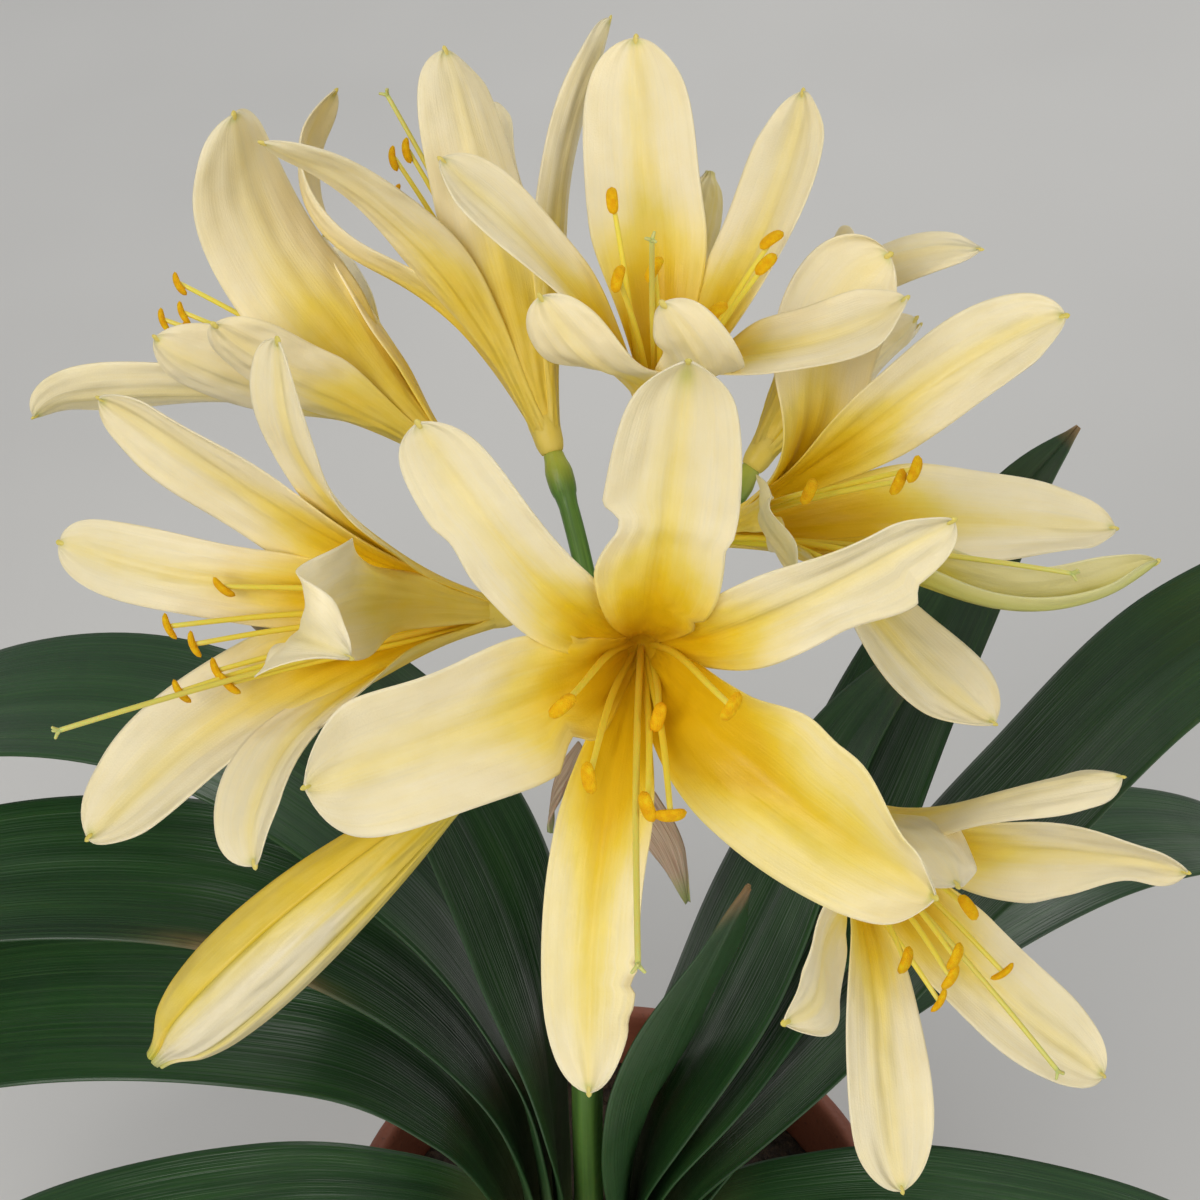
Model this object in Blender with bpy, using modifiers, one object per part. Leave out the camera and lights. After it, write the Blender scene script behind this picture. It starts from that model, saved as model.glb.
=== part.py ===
"""Clivia in flower, standing in a round terracotta pot.  Metres, +Z up, pot base on z = 0."""
import math

import bmesh
import bpy
import numpy as np
from mathutils import Matrix, Vector

NAME = "potted_clivia"
GAP = 0.0003

# pot
POT_HEIGHT = 0.140
POT_BASE_RADIUS = 0.050
POT_TOP_RADIUS = 0.0725
RIM_RADIUS = 0.0785
RIM_DROP = 0.020
RIM_GROOVE = 0.0022
POT_WALL = 0.0040
POT_FLOOR = 0.0055
DRAIN_RADIUS = 0.0045
DRAIN_RING = 0.030
DRAIN_COUNT = 5
POT_SIDES = 36

# soil
SOIL_TOP = 0.122
CROWN_HOLE_FLOOR = 0.1070
CROWN_CENTRE_X = -0.0060
CROWN_HALF_X = 0.0257
CROWN_HALF_Y = 0.0197

# flower stalk
STALK_PATH = [(-7.5, 0, 107.3), (-8, -3, 170), (-8, -8, 250), (-6, -13, 330), (-3, -16, 386)]
STALK_HALF_X = 0.0040
STALK_HALF_Y = 0.0068
UMBEL_CENTRE = (-0.0030, -0.0160, 0.387)
UMBEL_KNOB_RADIUS = 0.0072
PEDICEL_RADIUS = 0.0019
OVARY_RADIUS = 0.0030
OVARY_LENGTH = 0.0085

# blooms
TEPAL_THICKNESS = 0.0007
TUBE_ANGLE = 13.0
INNER_RADIUS = 0.0026
WHORL_STEP = 0.0011
TUBE_PROFILE = [(0.0026, -0.0030), (0.0042, -0.0006), (0.0051, 0.0050), (0.0030, 0.0045)]
TUBE_SIDES = 8
TEPAL_STATIONS = (0.0, 0.22, 0.46, 0.70, 0.90, 1.0)
CLAW_WIDTH = 0.30  # of the full width, at the foot of a tepal
FULL_WIDTH = 0.52  # of the length, where a tepal reaches its full width
WIDEST = 0.62  # of the length, where it starts to narrow again
FILAMENT_RADIUS = 0.00055
ANTHER_LENGTH = 0.0050
ANTHER_RADIUS = 0.0011
STYLE_RADIUS = 0.00055

# leaves
LEAF_THICKNESS = 0.0013
SHEATH_THICKNESS = 0.0024

# Each bloom: foot of its tube (mm), the way it faces (heading and rise, degrees) and its roll.
# Each tepal: turn about the bloom, opening angle, length and width (mm), twist, sideways bend,
# extra curl at the tip, cupping and whorl (0 inner, 1 outer).
# Each stamen and style: turn about the bloom, opening angle and length (mm).
BLOOMS = {
    "bloom_front": {
        "foot": (2, -35, 430), "faces": (-90, 35, 0),
        "tepals": [
            (-7, 62, 79, 21.5, -3, 2, -7, 30, 0),
            (47, 58, 77, 14.5, 19, -16, 18, 20, 1),
            (100, 62, 74, 24.5, 7, 3, 2, 25, 0),
            (160, 64, 82, 15.5, -20, 20, 19, 20, 1),
            (231, 65, 74, 24, -25, 9, 12, 32, 0),
            (301, 58, 73, 15, -31, 3, 24, 20, 1),
        ],
        "stamens": [(87, 11, 46), (200, 6, 26), (273, 11, 46), (141, 13, 46), (181, 15, 47), (193, 17, 48)],
        "style": (177, 27, 76),
    },
    "bloom_left": {
        "foot": (-23, -17, 418), "faces": (-156, 25, 27),
        "tepals": [
            (2, 39, 77, 15, -8, -24, 32, 20, 1),
            (38, 38, 80, 20.5, 4, 12, 8, 25, 0),
            (92, 28, 82, 14, -8, -2, 41, 20, 1),
            (152, 40, 84, 23, 0, 10, 21, 25, 0),
            (204, 32, 72, 21, 11, 10, 41, 20, 1),
            (298, 38, 82, 19, 48, -28, 6, 30, 0),
        ],
        "stamens": [(91, 15, 49), (115, 16, 58), (126, 16, 54), (145, 16, 51), (157, 16, 50), (151, 18, 58)],
        "style": (157, 20, 80),
    },
    "bloom_upper_left": {
        "foot": (-36, 27, 417), "faces": (143, 21, 35),
        "tepals": [
            (-50, 17, 78, 24.5, -12, 16, 61, 25, 0),
            (27, 15, 48, 16, 0, 0, 6, 20, 1),
            (95, 48, 75, 21, 0, 0, 10, 25, 0),
            (212, 39, 82, 21, -8, -9, 8, 20, 1),
            (226, 33, 58, 18, -28, 20, -4, 25, 0),
            (262, 50, 52, 15, 17, 18, -1, 25, 1),
        ],
        "stamens": [(263, 16, 58), (234, 17, 58), (244, 15, 55), (230, 16, 53), (60, 14, 48), (120, 14, 50)],
        "style": (206, 31, 64),
    },
    "bloom_back": {
        "foot": (-15, 27, 420), "faces": (110, 35, 6),
        "tepals": [
            (-16, 29, 75, 19.5, -41, 0, 1, 25, 0),
            (40, 22, 81, 14, -11, 12, 20, 20, 1),
            (140, 8, 78, 15, 23, 0, 27, 25, 0),
            (180, 40, 74, 17, 0, 0, 10, 20, 1),
            (262, 52, 88, 15, 18, 11, -99, 25, 0),
            (305, 50, 85, 14, 22, 2, 33, 20, 1),
        ],
        "stamens": [(298, 16, 60), (309, 16, 60), (281, 15, 54), (60, 12, 50), (120, 12, 50), (200, 12, 50)],
        "style": (311, 18, 71),
    },
    "bloom_top": {
        "foot": (6, 22, 425), "faces": (79, 82, 202),
        "tepals": [
            (-3, 54, 76, 22.5, 33, -1, -16, 25, 0),
            (84, 41, 68, 19.5, 16, -24, 15, 20, 1),
            (145, 58, 52, 15, -20, -34, -56, 15, 0),
            (196, 53, 54, 15, 52, -31, -74, 20, 1),
            (222, 69, 61, 17, -35, 35, -15, 20, 0),
            (277, 36, 70, 19.5, -8, 34, -6, 20, 1),
        ],
        "stamens": [(31, 15, 46), (136, 19, 45), (158, 15, 47), (248, 21, 48), (234, 23, 46), (196, 25, 41)],
        "style": (159, 24, 59),
    },
    "bloom_right": {
        "foot": (16.5, 5.5, 415.5), "faces": (-17, 32, -25),
        "tepals": [
            (-22, 82, 64, 21.5, 63, -14, -49, 25, 0),
            (61, 70, 52, 11, -21, 53, -60, 25, 1),
            (149, 58, 69, 21.5, -36, 6, -14, 25, 0),
            (178, 38, 84, 16, -46, 28, -51, 45, 1),
            (237, 44, 76, 22.5, 36, -1, 6, 25, 0),
            (318, 32, 75, 16.5, 70, -10, -13, 25, 1),
        ],
        "stamens": [(67, 32, 35), (72, 14, 48), (66, 12, 51), (119, 31, 38), (135, 28, 41), (131, 19, 44)],
        "style": (185, 19, 68),
    },
    "bloom_lower_right": {
        "foot": (32, -35, 390), "faces": (-50, 0, -37),
        "tepals": [
            (24, 49, 63, 19, -2, -43, -17, 25, 1),
            (48, 55, 54, 22, 43, 12, -40, 25, 0),
            (91, 70, 71, 17, -54, 18, -40, 20, 1),
            (168, 47, 74, 18, -46, 11, 0, 20, 0),
            (232, 42, 79, 18, 16, 15, 5, 25, 1),
            (304, 50, 71, 22, -9, -1, -9, 25, 0),
        ],
        "stamens": [(55, 16, 46), (109, 19, 43), (85, 13, 49), (99, 12, 50), (190, 15, 45), (244, 15, 48)],
        "style": (226, 18, 67),
    },
    "bloom_far_right": {
        "foot": (27, 36, 407), "faces": (48, 34, 0),
        "tepals": [
            (-3, 20, 52, 17, 20, 16, 60, 25, 0),
            (75, 14, 40, 13, 0, 0, 8, 25, 1),
            (135, 14, 42, 14, 0, 0, 8, 25, 0),
            (195, 15, 46, 13, 0, 0, 8, 25, 1),
            (255, 13, 46, 13, 0, 0, 0, 25, 0),
            (335, 8, 69, 13, 2, 70, -26, 25, 1),
        ],
        "stamens": [(0, 8, 36), (60, 8, 36), (120, 8, 36), (180, 9, 36), (240, 9, 36), (300, 8, 36)],
        "style": (200, 8, 42),
    },
}

# Closed buds: foot and tip (mm), thickness (mm) and how far the middle bows up (mm).
BUDS = {
    "bud_lower_left": ((-32, -27, 378), (-91, -61, 338), 19.5, 3),
    "bud_small": ((9, 47, 427), (17, 76, 447), 9, 0),
}

# Papery bracts under the umbel: middle line (mm), width (mm), the way the width runs, and side.
BRACTS = {
    "bract_front": ([(-1.0, -22.95, 379), (2.5, -26.5, 374), (8, -29.5, 364), (12.5, -31, 348)],
                    8, (1, 0.1, 0), -1),
    "bract_left": ([(-8.4, -15.6, 377), (-11, -17, 371.5), (-14, -18.5, 364), (-15, -19, 355)],
                   7, (0, 1, 0), -1),
}

# Leaves: middle line from the crown to the tip (mm), full width (mm) and side of the fan.
LEAVES = {
    "leaf_left_low": ([(-28.5, 0, 108.3), (-28.7, 0, 126), (-36, -4, 150), (-58, -11, 176), (-95, -18, 188),
                       (-155, -25, 172), (-215, -30, 112), (-245, -33, 58)], 42, -1),
    "leaf_left_front": ([(-25.4, 0, 108.3), (-26.4, 0, 140), (-34, -2, 190), (-48, -3, 232), (-77, -3, 259),
                         (-149, 0, 257), (-230, 0, 215), (-290, 2, 150)], 43, -1),
    "leaf_left_middle": ([(-22.3, 0, 108.3), (-22.8, 0, 145), (-27, 1, 200), (-38, 4, 243), (-62, 8, 278),
                          (-100, 11, 298), (-160, 13, 290), (-235, 14, 245), (-280, 15, 200)], 42, -1),
    "leaf_left_back": ([(-19.2, 0, 108.3), (-19.6, 0, 150), (-22, 2, 205), (-29, 6, 250), (-50, 18, 293),
                        (-95, 36, 322), (-150, 50, 312), (-215, 62, 262), (-255, 68, 215)], 42, -1),
    "leaf_left_inner": ([(-16.1, 0, 108.3), (-16.3, 0, 150), (-17.5, 1, 210), (-21, 4, 260), (-32, 10, 310),
                         (-52, 20, 350), (-84, 32, 370)], 38, -1),
    "leaf_centre": ([(1.0, 0, 108.3), (1.2, -1, 150), (3, -5, 200), (9, -12, 250), (17, -19, 300),
                     (25, -25, 345)], 34, 1),
    "leaf_right_inner": ([(4.1, 0, 108.3), (4.4, 0, 150), (9.5, 1, 200), (22, 5, 245), (36, 11, 295),
                          (50, 18, 340), (66, 26, 366)], 38, 1),
    "leaf_right_back": ([(7.2, 0, 108.3), (7.8, 0, 150), (14, 1, 195), (31, 8, 240), (49, 22, 290),
                         (67, 37, 342), (84, 52, 378), (97, 60, 393)], 40, 1),
    "leaf_right_front": ([(10.3, 0, 108.3), (11.2, 0, 145), (20, 0, 185), (38, 1, 225), (60, 3, 272),
                          (84, 5, 325), (112, 6, 380), (150, 10, 402), (195, 12, 385)], 42, 1),
    "leaf_right_rear": ([(13.4, 0, 108.3), (13.8, 0, 135), (22, 4, 170), (44, 22, 200), (78, 45, 222),
                         (125, 75, 222), (178, 102, 190), (220, 122, 142)], 41, 1),
    "leaf_right_low": ([(16.5, 0, 108.3), (16.7, 0, 126), (24, -4, 150), (46, -11, 174), (85, -19, 188),
                        (145, -28, 174), (200, -36, 115), (228, -40, 62)], 42, 1),
}


# ---------------------------------------------------------------- scene and materials

def clear_scene():
    for obj in list(bpy.data.objects):
        bpy.data.objects.remove(obj, do_unlink=True)


def new_collection(name):
    col = bpy.data.collections.new(name)
    bpy.context.scene.collection.children.link(col)
    return col


def material(name, color, roughness=0.5):
    mat = bpy.data.materials.new(name)
    mat.use_nodes = True
    shader = mat.node_tree.nodes["Principled BSDF"]
    shader.inputs["Base Color"].default_value = (*color, 1.0)
    shader.inputs["Roughness"].default_value = roughness
    return mat


def add_object(name, mesh, col, mat=None):
    obj = bpy.data.objects.new(name, mesh)
    col.objects.link(obj)
    if mat is not None:
        mesh.materials.clear()
        mesh.materials.append(mat)
    return obj


def closed_mesh(name, verts, faces):
    mesh = bpy.data.meshes.new(name)
    mesh.from_pydata([tuple(v) for v in verts], [], faces)
    tidy_mesh(mesh)
    return mesh


def tidy_mesh(mesh, weld=0.00002):
    bm = bmesh.new()
    bm.from_mesh(mesh)
    bmesh.ops.remove_doubles(bm, verts=bm.verts, dist=weld)
    bmesh.ops.triangulate(bm, faces=bm.faces)
    bmesh.ops.recalc_face_normals(bm, faces=bm.faces)
    bm.to_mesh(mesh)
    bm.free()


def evaluated_mesh(obj):
    graph = bpy.context.evaluated_depsgraph_get()
    return bpy.data.meshes.new_from_object(obj.evaluated_get(graph))


def discard(objects):
    for obj in list(objects):
        bpy.data.objects.remove(obj, do_unlink=True)


# ---------------------------------------------------------------- curves and sections

def ease(x, a, b):
    t = np.clip((np.asarray(x, float) - a) / (b - a), 0.0, 1.0)
    return t * t * (3.0 - 2.0 * t)


def smooth_path(points, count):
    """Points along a curve through the given ones, at even steps of its parameter."""
    pts = np.asarray(points, float)
    last = len(pts) - 1
    ext = np.vstack([2 * pts[0] - pts[1], pts, 2 * pts[-1] - pts[-2]])
    out = []
    for u in np.linspace(0.0, last, count):
        i = min(int(u), last - 1)
        t = u - i
        p0, p1, p2, p3 = ext[i:i + 4]
        a = 2 * p1
        b = (p2 - p0) * t
        c = (2 * p0 - 5 * p1 + 4 * p2 - p3) * t * t
        d = (3 * p1 - p0 - 3 * p2 + p3) * t * t * t
        out.append((a + b + c + d) / 2)
    return np.array(out)


def even_path(points, stations):
    """The curve through the given points, at the given fractions of its length."""
    fine = smooth_path(points, 241)
    step = np.linalg.norm(np.diff(fine, axis=0), axis=1)
    length = np.concatenate([[0.0], np.cumsum(step)])
    at = np.asarray(stations) * length[-1]
    return np.stack([np.interp(at, length, fine[:, k]) for k in range(3)], axis=-1)


def unit(v):
    v = np.asarray(v, float)
    return v / np.linalg.norm(v, axis=-1, keepdims=True)


def tangents(path):
    return unit(np.gradient(path, axis=0))


def direction(heading, rise):
    h = math.radians(heading)
    r = math.radians(rise)
    return np.array([math.cos(h) * math.cos(r), math.sin(h) * math.cos(r), math.sin(r)])


def bloom_axes(heading, rise, roll):
    """Columns: two cross axes and the way the bloom faces."""
    z = direction(heading, rise)
    up = np.array([0.0, 0.0, 1.0])
    x = unit(up - up.dot(z) * z)
    y = np.cross(z, x)
    c = math.cos(math.radians(roll))
    s = math.sin(math.radians(roll))
    return np.stack([c * x + s * y, c * y - s * x, z], axis=-1)


def turned(points, angle, axes, origin):
    c = math.cos(math.radians(angle))
    s = math.sin(math.radians(angle))
    spin = np.array([[c, -s, 0.0], [s, c, 0.0], [0.0, 0.0, 1.0]])
    return points @ (axes @ spin).T + origin


# ---------------------------------------------------------------- blades

def blade(name, outer, inner):
    """A closed thin blade between two matching grids of points, split alike on both faces."""
    rows, cols = outer.shape[:2]
    verts = np.concatenate([outer.reshape(-1, 3), inner.reshape(-1, 3)])
    half = rows * cols
    faces = []
    for i in range(rows - 1):
        for j in range(cols - 1):
            a = i * cols + j
            b, c, d = a + cols, a + cols + 1, a + 1
            faces += [(a, b, c), (a, c, d)]
            faces += [(half + a, half + c, half + b), (half + a, half + d, half + c)]
    ring = [j for j in range(cols)]
    ring += [i * cols + cols - 1 for i in range(1, rows)]
    ring += [(rows - 1) * cols + j for j in range(cols - 2, -1, -1)]
    ring += [i * cols for i in range(rows - 2, 0, -1)]
    for a, b in zip(ring, ring[1:] + ring[:1]):
        faces += [(a, b, half + b), (a, half + b, half + a)]
    return closed_mesh(name, verts, faces)


def width_profile(s):
    rise = CLAW_WIDTH + (1 - CLAW_WIDTH) * ease(s, 0.06, FULL_WIDTH)
    t = np.clip((s - WIDEST) / (1 - WIDEST), 0.0, 1.0)
    fall = (1 - t ** 3.0) ** 0.55
    return np.maximum(rise * np.where(s > WIDEST, fall, 1.0), 0.07)


def petal_line(spread, length, twist, bend, curl, start):
    """Middle line of a tepal or stamen in the bloom's own axes, with its cross and outward axes."""
    s = np.linspace(0.0, 1.0, 201)
    open_angle = TUBE_ANGLE + (spread - TUBE_ANGLE) * ease(s, 0.08, 0.60) + curl * ease(s, 0.5, 1.0)
    th = np.radians(open_angle)
    ps = np.radians(bend * ease(s, 0.15, 0.95))
    along = np.stack([np.sin(th) * np.cos(ps), np.sin(ps), np.cos(th) * np.cos(ps)], axis=-1)
    centre = np.zeros((201, 3))
    centre[1:] = np.cumsum((along[1:] + along[:-1]) / 2 * length / 200, axis=0)
    centre[:, 0] += start
    out = np.stack([np.cos(th), 0 * th, -np.sin(th)], axis=-1)
    cross = np.stack([-np.sin(ps) * np.sin(th), np.cos(ps), -np.sin(ps) * np.cos(th)], axis=-1)
    tw = np.radians(twist * ease(s, 0.2, 1.0))[:, None]
    across = cross * np.cos(tw) + out * np.sin(tw)
    outward = out * np.cos(tw) - cross * np.sin(tw)
    return s, centre, across, outward


def at_stations(s, stations, *tables):
    return [np.stack([np.interp(stations, s, t[:, k]) for k in range(3)], axis=-1) for t in tables]


def tepal_grids(spec, stations, columns):
    """Outer and inner faces of one tepal in the bloom's own axes."""
    turn, spread, length, width, twist, bend, curl, cup, whorl = spec
    start = INNER_RADIUS + WHORL_STEP * whorl
    s, centre, across, outward = petal_line(spread, length / 1000, twist, bend, curl, start)
    st = np.asarray(stations, float)
    centre, across, outward = at_stations(s, st, centre, across, outward)
    half = width / 2000 * width_profile(st)
    radius = np.hypot(centre[:, 0], centre[:, 1])
    wrap = np.clip(half / radius, 0.0, 1.2)
    own = ease(st, 0.10, 0.45)
    k = (wrap * (1 - own) + math.radians(cup) * own)[:, None]
    v = np.linspace(-1.0, 1.0, columns)
    x = (half[:, None] * np.sin(k * v) / k)[..., None]
    y = (half[:, None] * (1 - np.cos(k * v)) / k)[..., None]
    middle = centre[:, None] + across[:, None] * x - outward[:, None] * y
    normal = outward[:, None] * np.cos(k * v)[..., None] + across[:, None] * np.sin(k * v)[..., None]
    shift = normal * TEPAL_THICKNESS / 2
    return middle + shift, middle - shift


def tube(name, points, radii, sides, col):
    """A round tube through the points, made as a bevelled curve and turned into a closed mesh."""
    data = bpy.data.curves.new(name, "CURVE")
    data.dimensions = "3D"
    data.bevel_depth = 1.0
    data.bevel_resolution = (sides - 4) // 2
    data.use_fill_caps = True
    spline = data.splines.new("POLY")
    spline.points.add(len(points) - 1)
    for point, where, radius in zip(spline.points, points, radii):
        point.co = (*where, 1.0)
        point.radius = radius
    obj = add_object(name, data, col)
    mesh = evaluated_mesh(obj)
    discard([obj])
    tidy_mesh(mesh)
    return add_object(name, mesh, col)


def union_of(base, parts_col):
    """Fuse everything in the collection into the base object, then drop the collection's objects."""
    mod = base.modifiers.new("union", "BOOLEAN")
    mod.operation = "UNION"
    mod.operand_type = "COLLECTION"
    mod.collection = parts_col
    mod.solver = "EXACT"
    mesh = evaluated_mesh(base)
    base.modifiers.clear()
    old = base.data
    base.data = mesh
    bpy.data.meshes.remove(old)
    discard(parts_col.objects)
    tidy_mesh(base.data, weld=0.0000005)
    base.data.materials.clear()
    return base


# ---------------------------------------------------------------- turned bodies

def turned_body(name, profile, sides, col):
    """A closed body turned about Z with the Screw modifier; the profile starts and ends on the axis."""
    mesh = bpy.data.meshes.new(name)
    verts = [(r, 0.0, z) for r, z in profile]
    edges = [(i, i + 1) for i in range(len(profile) - 1)]
    mesh.from_pydata(verts, edges, [])
    obj = add_object(name, mesh, col)
    mod = obj.modifiers.new("turn", "SCREW")
    mod.steps = sides
    mod.render_steps = sides
    mod.use_merge_vertices = True
    mod.merge_threshold = 0.00005
    out = evaluated_mesh(obj)
    discard([obj])
    tidy_mesh(out)
    return add_object(name, out, col)


def pot_profile():
    """Outline of the pot, from the middle of its base out, up and back down inside."""
    h = POT_HEIGHT
    rim = RIM_RADIUS
    low = h - RIM_DROP
    taper = (POT_TOP_RADIUS - POT_BASE_RADIUS) / low
    inner_top = RIM_RADIUS - POT_WALL - 0.0022
    inner_low = POT_BASE_RADIUS + taper * POT_FLOOR - POT_WALL
    return [
        (0.0, 0.0), (POT_BASE_RADIUS - 0.0015, 0.0), (POT_BASE_RADIUS, 0.0015),
        (POT_TOP_RADIUS - 0.0012, low - 0.004), (rim - 0.0020, low), (rim, low + 0.0035),
        (rim, low + 0.0070), (rim - RIM_GROOVE, low + 0.0095), (rim - RIM_GROOVE, low + 0.0115),
        (rim, low + 0.0140), (rim, h - 0.0022), (rim - 0.0025, h), (inner_top + 0.0012, h),
        (inner_top, h - 0.0022), (POT_TOP_RADIUS - POT_WALL, low - 0.001), (inner_low, POT_FLOOR),
        (0.0, POT_FLOOR),
    ]


def inner_radius(z):
    """Inside radius of the pot at a height."""
    profile = pot_profile()
    r1, z1 = profile[-2]
    r2, z2 = profile[-3]
    return r1 + (r2 - r1) * (z - z1) / (z2 - z1)


def cut(obj, cutter):
    mod = obj.modifiers.new("cut", "BOOLEAN")
    mod.operation = "DIFFERENCE"
    mod.object = cutter
    mod.solver = "EXACT"
    mesh = evaluated_mesh(obj)
    obj.modifiers.clear()
    old = obj.data
    obj.data = mesh
    bpy.data.meshes.remove(old)
    tidy_mesh(obj.data, weld=0.0000005)


def drain_cutter(cutters):
    verts = []
    faces = []
    for k in range(DRAIN_COUNT):
        a = math.radians(90 + 360 / DRAIN_COUNT * k)
        cx = DRAIN_RING * math.cos(a)
        cy = DRAIN_RING * math.sin(a)
        first = len(verts)
        sides = 8
        for z in (-0.002, POT_FLOOR + 0.002):
            for i in range(sides):
                b = 2 * math.pi * i / sides
                verts.append((cx + DRAIN_RADIUS * math.cos(b), cy + DRAIN_RADIUS * math.sin(b), z))
        low = list(range(first, first + sides))
        top = list(range(first + sides, first + 2 * sides))
        faces += [tuple(low[::-1]), tuple(top)]
        faces += [(low[i], low[(i + 1) % sides], top[(i + 1) % sides], top[i]) for i in range(sides)]
    obj = add_object("cut_drains", closed_mesh("cut_drains", verts, faces), cutters)
    obj.hide_render = True
    obj.display_type = "WIRE"
    return obj


def make_pot(col, cutters, mat):
    pot = turned_body("pot", pot_profile(), POT_SIDES, col)
    cut(pot, drain_cutter(cutters))
    pot.data.materials.clear()
    pot.data.materials.append(mat)


def crown_outline(sides, grow=0.0):
    pts = []
    for i in range(sides):
        a = 2 * math.pi * i / sides
        c = math.cos(a)
        s = math.sin(a)
        x = math.copysign(abs(c) ** 0.5, c) * (CROWN_HALF_X + grow)
        y = math.copysign(abs(s) ** 0.5, s) * (CROWN_HALF_Y + grow)
        pts.append((CROWN_CENTRE_X + x, y))
    return pts


def crown_cutter(cutters):
    """The plain hole in the soil in which the leaf bases and the stalk stand."""
    outline = crown_outline(28)
    n = len(outline)
    verts = [(x, y, CROWN_HOLE_FLOOR) for x, y in outline]
    verts += [(x, y, SOIL_TOP + 0.01) for x, y in outline]
    faces = [tuple(range(n))[::-1], tuple(range(n, 2 * n))]
    faces += [(i, (i + 1) % n, n + (i + 1) % n, n + i) for i in range(n)]
    obj = add_object("cut_crown", closed_mesh("cut_crown", verts, faces), cutters)
    obj.hide_render = True
    obj.display_type = "WIRE"
    return obj


def make_soil(col, cutters, mat):
    low = POT_FLOOR + GAP
    top = SOIL_TOP
    side = GAP + 0.0003
    profile = [
        (0.0, low), (inner_radius(low) - side, low), (inner_radius(top) - side, top - 0.0015),
        (0.062, top - 0.0006), (0.052, top + 0.0006), (0.040, top), (0.0, top),
    ]
    soil = turned_body("soil", profile, POT_SIDES, col)
    cut(soil, crown_cutter(cutters))
    soil.data.materials.clear()
    soil.data.materials.append(mat)


# ---------------------------------------------------------------- stalk, blooms, buds

def bloom_frame(spec):
    return np.array(spec["foot"]) / 1000, bloom_axes(*spec["faces"])


def elliptic_stalk(name, col):
    """The flattened main stalk, with a swelling at the top where the flower stalks meet."""
    st = (0.0, 0.2, 0.4, 0.6, 0.8, 0.93, 1.0)
    path = even_path(np.array(STALK_PATH) / 1000, st)
    swell = (1.05, 1.0, 0.97, 0.95, 0.95, 1.0, 1.1)
    sides = 10
    verts = []
    for centre, k in zip(path, swell):
        for i in range(sides):
            a = 2 * math.pi * i / sides
            x = STALK_HALF_X * k * math.cos(a)
            y = STALK_HALF_Y * k * math.sin(a)
            verts.append((centre[0] + x, centre[1] + y, centre[2]))
    faces = [tuple(range(sides))[::-1]]
    faces.append(tuple(range(len(verts) - sides, len(verts))))
    for r in range(len(path) - 1):
        for i in range(sides):
            a = r * sides + i
            b = r * sides + (i + 1) % sides
            faces.append((a, b, b + sides, a + sides))
    return add_object(name, closed_mesh(name, verts, faces), col)


def umbel_knob(col):
    mesh = bpy.data.meshes.new("knob")
    bm = bmesh.new()
    bmesh.ops.create_uvsphere(bm, u_segments=8, v_segments=5, radius=UMBEL_KNOB_RADIUS)
    bmesh.ops.scale(bm, vec=(0.8, 1.0, 0.75), verts=bm.verts)
    bmesh.ops.translate(bm, vec=UMBEL_CENTRE, verts=bm.verts)
    bm.to_mesh(mesh)
    bm.free()
    tidy_mesh(mesh)
    return add_object("knob", mesh, col)


def pedicel(name, foot, facing, below, col, ovary=1.0):
    """A flower stalk from the umbel to a bloom or bud, ending in the ovary."""
    start = np.array(UMBEL_CENTRE)
    top = foot - facing * (below + GAP)
    low = top - facing * OVARY_LENGTH * ovary
    reach = np.linalg.norm(low - start)
    lift = unit(unit(low - start) + np.array([0.0, 0.0, 0.55]))
    points = []
    for t in np.linspace(0.0, 1.0, 5):
        h1 = (1 - t) ** 3
        h2 = 3 * t * (1 - t) ** 2
        h3 = 3 * t * t * (1 - t)
        p = h1 * start + h2 * (start + lift * reach * 0.4) + h3 * (low - facing * reach * 0.3) + t ** 3 * low
        points.append(p)
    radii = [PEDICEL_RADIUS] * 4 + [PEDICEL_RADIUS * 1.15]
    for k, r in ((0.35, 1.0), (0.75, 0.95), (1.0, 0.74)):
        points.append(low + (top - low) * k)
        radii.append(OVARY_RADIUS * r * ovary)
    return tube(name, points, radii, 6, col)


def make_stalk(col, parts_col, mat):
    stalk = elliptic_stalk("flower_stalk", col)
    umbel_knob(parts_col)
    for name, spec in BLOOMS.items():
        foot, axes = bloom_frame(spec)
        pedicel("p_" + name, foot, axes[:, 2], -TUBE_PROFILE[0][1], parts_col)
    for name, (foot, tip, thick, bow) in BUDS.items():
        foot = np.array(foot) / 1000
        facing = bud_line(foot, np.array(tip) / 1000, bow)[1]
        pedicel("p_" + name, foot, facing, 0.0, parts_col, ovary=0.8)
    union_of(stalk, parts_col)
    stalk.data.materials.append(mat)


def stamen(name, spec, foot, axes, col, anther_turn):
    turn, spread, length = spec
    s, centre, across, outward = petal_line(spread, length / 1000, 0.0, 0.0, 6.0, 0.0015)
    st = np.array([0.0, 0.50, 1.0])
    line, cross, out = at_stations(s, st, centre, across, outward)
    line = turned(line, turn, axes, foot)
    radii = [FILAMENT_RADIUS * k for k in (1.15, 1.0, 0.85)]
    tube("f_" + name, line, radii, 4, col)
    tip_dir = unit(line[-1] - line[-2])
    side = turned(cross[-1:], turn, axes, 0.0)[0]
    a = math.radians(anther_turn)
    lie = unit(side * math.cos(a) + tip_dir * math.sin(a))
    ends = [line[-1] + lie * ANTHER_LENGTH * k for k in (-0.5, 0.0, 0.5)]
    tube("a_" + name, ends, [ANTHER_RADIUS * k for k in (0.6, 1.0, 0.6)], 4, col)


def style_of(name, spec, foot, axes, col):
    turn, spread, length = spec
    s, centre, across, outward = petal_line(spread, length / 1000, 0.0, 0.0, 4.0, 0.0002)
    line = at_stations(s, np.array([0.0, 0.3, 0.65, 1.0]), centre)[0]
    line = turned(line, turn, axes, foot)
    radii = [STYLE_RADIUS * k for k in (1.2, 1.0, 1.0, 1.3)]
    tube("s_" + name, line, radii, 4, col)


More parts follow.
